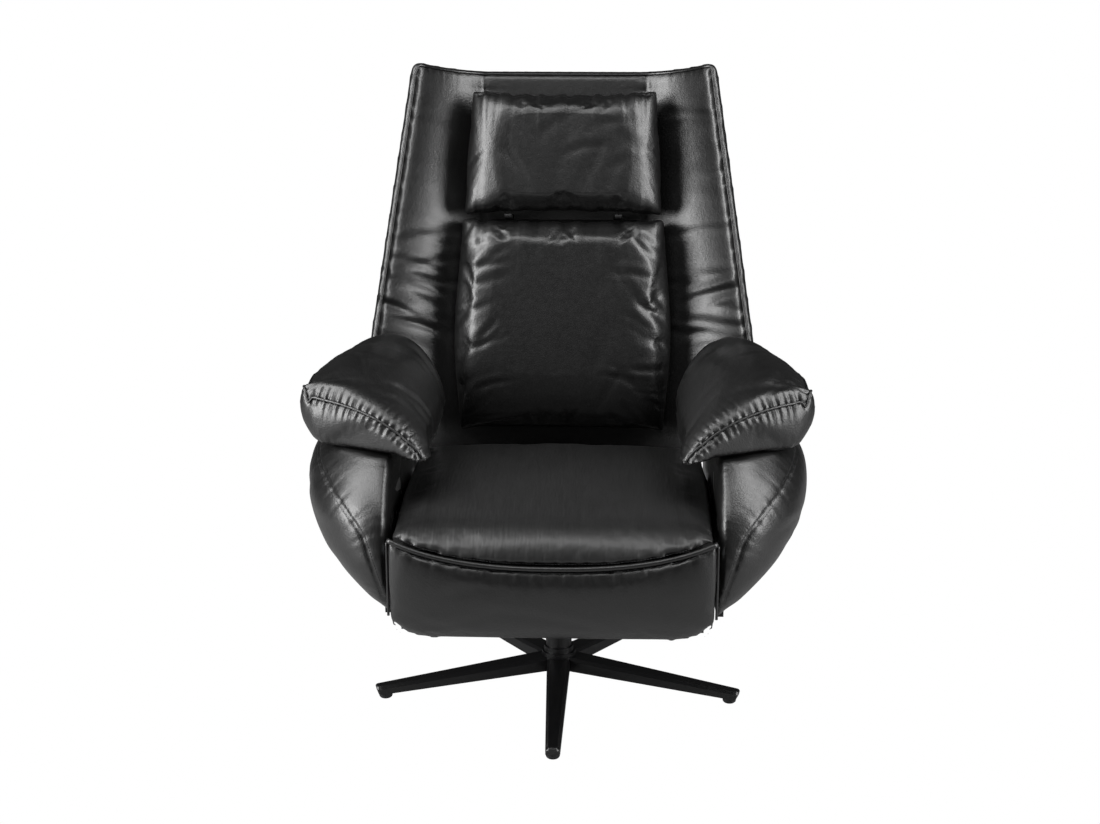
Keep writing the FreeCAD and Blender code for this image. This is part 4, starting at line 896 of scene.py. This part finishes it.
top_seam = onto(head, row_of(60, 0.158, -0.104, 0.7245))[0]
gather(head, top_seam, depth=0.0026, reach=0.028, pitch=0.034, seed=5)
seam_dent(head, top_seam, depth=0.0024, width=0.004)
crease_seam = row_of(60, 0.165, -0.100, 0.5085)
gather(head, crease_seam, depth=0.0016, reach=0.020, pitch=0.045, seed=6)
facing(
    head, FRONTWARD, folds, front_view, ((-0.15, 0.15), (0.86, 1.02)), count=12, angle=0.2,
    spread_by=1.2, length=0.10, width=0.010, depth=0.0012, seed=7,
)
lumbar_top = row_of(60, 0.17, -0.100, 0.487)
gather(lumbar, lumbar_top, depth=0.0022, reach=0.030, pitch=0.05, seed=8)
for sign in (-1, 1):
    edge = (on_side(sign, 0.12, 0.19), (0.45, 0.80))
    facing(
        lumbar, FRONTWARD, folds, front_view, edge, count=18, angle=sign * -0.6,
        spread_by=0.5, length=0.085, width=0.007, depth=0.0020, seed=51 + sign,
    )
facing(
    lumbar, FRONTWARD, folds, front_view, ((-0.10, 0.10), (0.50, 0.80)), count=7, angle=1.1,
    spread_by=0.6, length=0.12, width=0.012, depth=0.0010, seed=9,
)

# Seams of the arm pads and sides: a welted band, a stitched gusset and a stitched hem
inner, outer, lift, crown = arm_rows[-4][:2], arm_rows[-4][2:4], arm_rows[-4][4], arm_rows[-4][5]
arch = bow((1.0, arm_top + lift), (0.42, arm_top + lift + crown), (0.03, arm_low - 0.015), 400)
GUSSET = [
    (0.408, -0.120, 0.480), (0.399, -0.172, 0.474), (0.370, -0.258, 0.452), (0.336, -0.312, 0.425),
    (0.309, -0.337, 0.394), (0.295, -0.348, 0.355), (0.280, -0.346, 0.306), (0.273, -0.338, 0.280),
]
HEM = [
    (0.300, -0.30, 0.262), (0.352, -0.20, 0.300), (0.392, -0.10, 0.335), (0.405, 0.02, 0.352),
    (0.385, 0.14, 0.350),
]
for label, sign in SIDES:
    arm, side = arms[label], sides[label]
    band = [(sign * row[2], row[3], arm_top + row[4]) for row in arm_rows[4:-2:3]]
    for share in np.linspace(0.95, 0.05, 14):
        plan = inner + (outer - inner) * share
        band.append((sign * plan[0], plan[1], float(np.interp(-share, -arch[:, 0], arch[:, 1]))))
    band, band_normals = onto(arm, spread(band, 0.006))
    facing(arm, UPWARD, gather, band, depth=0.0010, reach=0.020, pitch=0.013, seed=60 + sign)
    seam_dent(arm, band, depth=0.0018, width=0.0040)
    folds(
        arm, top_view, (on_side(sign, 0.22, 0.38), (-0.22, 0.08)), count=14, angle=sign * 0.5,
        spread_by=0.8, length=0.10, width=0.009, depth=0.0013, seed=62 + sign,
    )
    welt = tube("arm_welt_" + label, band - band_normals * 0.0004, 0.0021)
    dress(welt, pebbled_leather)
    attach(welt, "seat")
    gusset, gusset_normals = onto(side, spread(np.array(GUSSET) * (sign, 1, 1), 0.006))
    seam_dent(side, gusset, depth=0.0024, width=0.004)
    gather(side, gusset, depth=0.0004, reach=0.020, pitch=0.026, seed=64 + sign)
    hem, hem_normals = onto(side, spread(np.array(HEM) * (sign, 1, 1), 0.006))
    seam_dent(side, hem, depth=0.0020, width=0.004)
    folds(
        side, side_view, ((-0.28, 0.15), (0.30, 0.47)), count=12, angle=0.3,
        spread_by=0.8, length=0.12, width=0.010, depth=0.0012, seed=66 + sign,
    )
    for name, path, normals in (("gusset", gusset, gusset_normals), ("hem", hem, hem_normals)):
        beside = unit(np.cross(np.gradient(path, axis=0), normals))
        for row_name, shift in (("inner", -0.0042), ("outer", 0.0042)):
            line, line_normals = onto(side, path + beside * shift)
            thread = stitches("%s_stitch_%s_%s" % (name, row_name, label), line, line_normals)
            dress(thread, sewing_thread)
            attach(thread, "seat")

piping = tube("wing_piping", rim_path - rim_normals * 0.0006, 0.0026)
dress(piping, pebbled_leather)
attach(piping, "back")

# The smile-shaped seam: a row of stitches on each side, and piped edges on the front panel
across = np.linspace(-0.252, 0.252, 90)
heights = np.array([smile(x / SEAT_HALF) for x in across])
for name, piece, rise in (("seat_hem_stitch", seat, 0.0065), ("panel_hem_stitch", panel, -0.0065)):
    before_it = np.column_stack([across, np.full(len(across), -0.40), heights + rise])
    path, normals = onto(piece, before_it, towards=(0, 1, 0))
    seam_dent(piece, path, depth=0.0010, width=0.0035)
    gather(piece, path, depth=0.0008, reach=0.016, pitch=0.026, seed=71)
    thread = stitches(name, path, normals)
    dress(thread, sewing_thread)
    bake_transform(thread)
shares = np.linspace(-0.985, 0.985, 90)
smile_heights = [smile(share) for share in shares]
smile_line = np.column_stack([PANEL_HALF * shares, panel_front(shares) + 0.0052, smile_heights])
seam_cord = tube("smile_seam_cord", smile_line, 0.0042)
dress(seam_cord, pebbled_leather)
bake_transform(seam_cord)
for label, sign in SIDES:
    corner = (sign * (PANEL_HALF - 0.0025), panel_front(1) + 0.006)
    edge = [(*corner, height) for height in np.linspace(0.396, 0.272, 24)]
    piece = tube("panel_piping_" + label, spread(edge, 0.005), 0.0022)
    dress(piece, pebbled_leather)
    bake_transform(piece)
facing(
    panel, FRONTWARD, folds, front_view, ((-0.2, 0.2), (0.25, 0.34)), count=6, angle=0.0,
    spread_by=0.4, length=0.16, width=0.012, depth=0.0008, seed=73,
)

# Finishes, bodies and what each cover stands for
covers = (
    (shell, pebbled_leather, "back", ("back_shell",), 0.9),
    (lumbar, pebbled_leather, "back", ("lumbar_cushion",), 0.75),
    (head, pebbled_leather, "headrest", ("head_cushion",), 0.8),
    (panel, pebbled_leather, None, ("legrest_pad",), 0.85),
    (seat, combed_leather, None, ("seat_cushion", "knee_roll"), 0.8),
    (flap, pebbled_leather, "flap", ("flap_pad",), 0.8),
    (sides["left"], pebbled_leather, "seat", ("side_body_left",), 0.85),
    (sides["right"], pebbled_leather, "seat", ("side_body_right",), 0.85),
    (arms["left"], pebbled_leather, "seat", ("arm_pad_left",), 0.7),
    (arms["right"], pebbled_leather, "seat", ("arm_pad_right",), 0.7),
)
for piece, material, body, nodes, fill in covers:
    dress(piece, material)
    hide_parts(*nodes)
    if body is None:
        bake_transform(piece)
    else:
        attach(piece, body)


# Floor, light and camera
def lamp(name, place, aim, size, power):
    """A soft rectangular lamp that looks at a point."""
    data = bpy.data.lights.new(name, "AREA")
    data.shape = "RECTANGLE"
    data.size, data.size_y = size
    data.energy = power
    made = bpy.data.objects.new(name, data)
    bpy.context.collection.objects.link(made)
    made.location = place
    made.rotation_euler = (Vector(aim) - Vector(place)).to_track_quat("-Z", "Y").to_euler()
    return made


def sweep(name, dark, light):
    """Matt paper: pure white to the camera, darker to the light that bounces between things."""
    made, shader, coords = new_material(name)
    link = made.node_tree.links.new
    fibres = add(made, "TexNoise", {"Vector": coords, "Scale": per_metre(30.0), "Detail": 2.0})
    link(ramp(made, fibres.outputs["Fac"], dark, light), shader.inputs["Base Color"])
    shader.inputs["Roughness"].default_value = 0.9
    glow = add(made, "Emission", {"Color": linear("ffffff"), "Strength": 1.0})
    ray = add(made, "LightPath")
    choice = {0: ray.outputs["Is Camera Ray"], 1: shader.outputs[0], 2: glow.outputs[0]}
    mixed = add(made, "MixShader", choice)
    link(mixed.outputs[0], made.node_tree.nodes["Material Output"].inputs["Surface"])
    return made


floor = make_object("floor", [(-9, -9, 0), (9, -9, 0), (9, 9, 0), (-9, 9, 0)], [(0, 1, 2, 3)])
floor.data.materials.append(sweep("white_paper_sweep", "9a9a9a", "a8a8a8"))
lamp("side_light_left", (-2.4, -1.15, 1.3), (0, 0, 0.6), (0.9, 1.9), 100)
lamp("side_light_right", (2.5, -1.15, 1.3), (0, 0, 0.6), (0.9, 1.9), 68)
lamp("upper_light_left", (-1.4, -0.4, 2.2), (0, 0, 0.5), (0.9, 1.2), 34)
lamp("upper_light_right", (1.4, -0.4, 2.2), (0, 0, 0.5), (0.9, 1.2), 34)
lamp("top_light", (-0.3, -1.1, 3.0), (0, 0, 0.4), (1.8, 1.0), 30)

ROOM_LIGHT, ROOM_SEEN = 0.03, 1.0
world = bpy.data.worlds.new("white_room")
bpy.context.scene.world = world
world.use_nodes = True
room = world.node_tree.nodes["Background"]
seen = add(world, "LightPath")
bright = add(world, "Background", {"Color": linear("ffffff"), "Strength": ROOM_SEEN})
room.inputs["Color"].default_value = linear("ffffff")
room.inputs["Strength"].default_value = ROOM_LIGHT
choice = {0: seen.outputs["Is Camera Ray"], 1: room.outputs[0], 2: bright.outputs[0]}
mixed = add(world, "MixShader", choice)
world.node_tree.links.new(mixed.outputs[0], world.node_tree.nodes["World Output"].inputs["Surface"])

CAMERA_REACH, CAMERA_HEIGHT = 3.0, 1.3801
CAMERA_TURN, CAMERA_PITCH = math.radians(1.7), math.radians(16.24)
FOCAL_PIXELS, PHOTO_WIDTH, AXIS_RIGHT_OF_CENTRE = 1771.5, 1100, 9.5
camera_data = bpy.data.cameras.new("camera")
camera_data.sensor_width = 36.0
camera_data.lens = FOCAL_PIXELS / PHOTO_WIDTH * camera_data.sensor_width
camera = bpy.data.objects.new("camera", camera_data)
bpy.context.collection.objects.link(camera)
camera_x, camera_y = CAMERA_REACH * math.sin(CAMERA_TURN), -CAMERA_REACH * math.cos(CAMERA_TURN)
camera.location = (camera_x, camera_y, CAMERA_HEIGHT)
heading = CAMERA_TURN + math.atan(AXIS_RIGHT_OF_CENTRE / FOCAL_PIXELS)
camera.rotation_euler = (math.pi / 2 - CAMERA_PITCH, 0, heading)
bpy.context.scene.camera = camera
bpy.context.scene.view_settings.view_transform = "Standard"
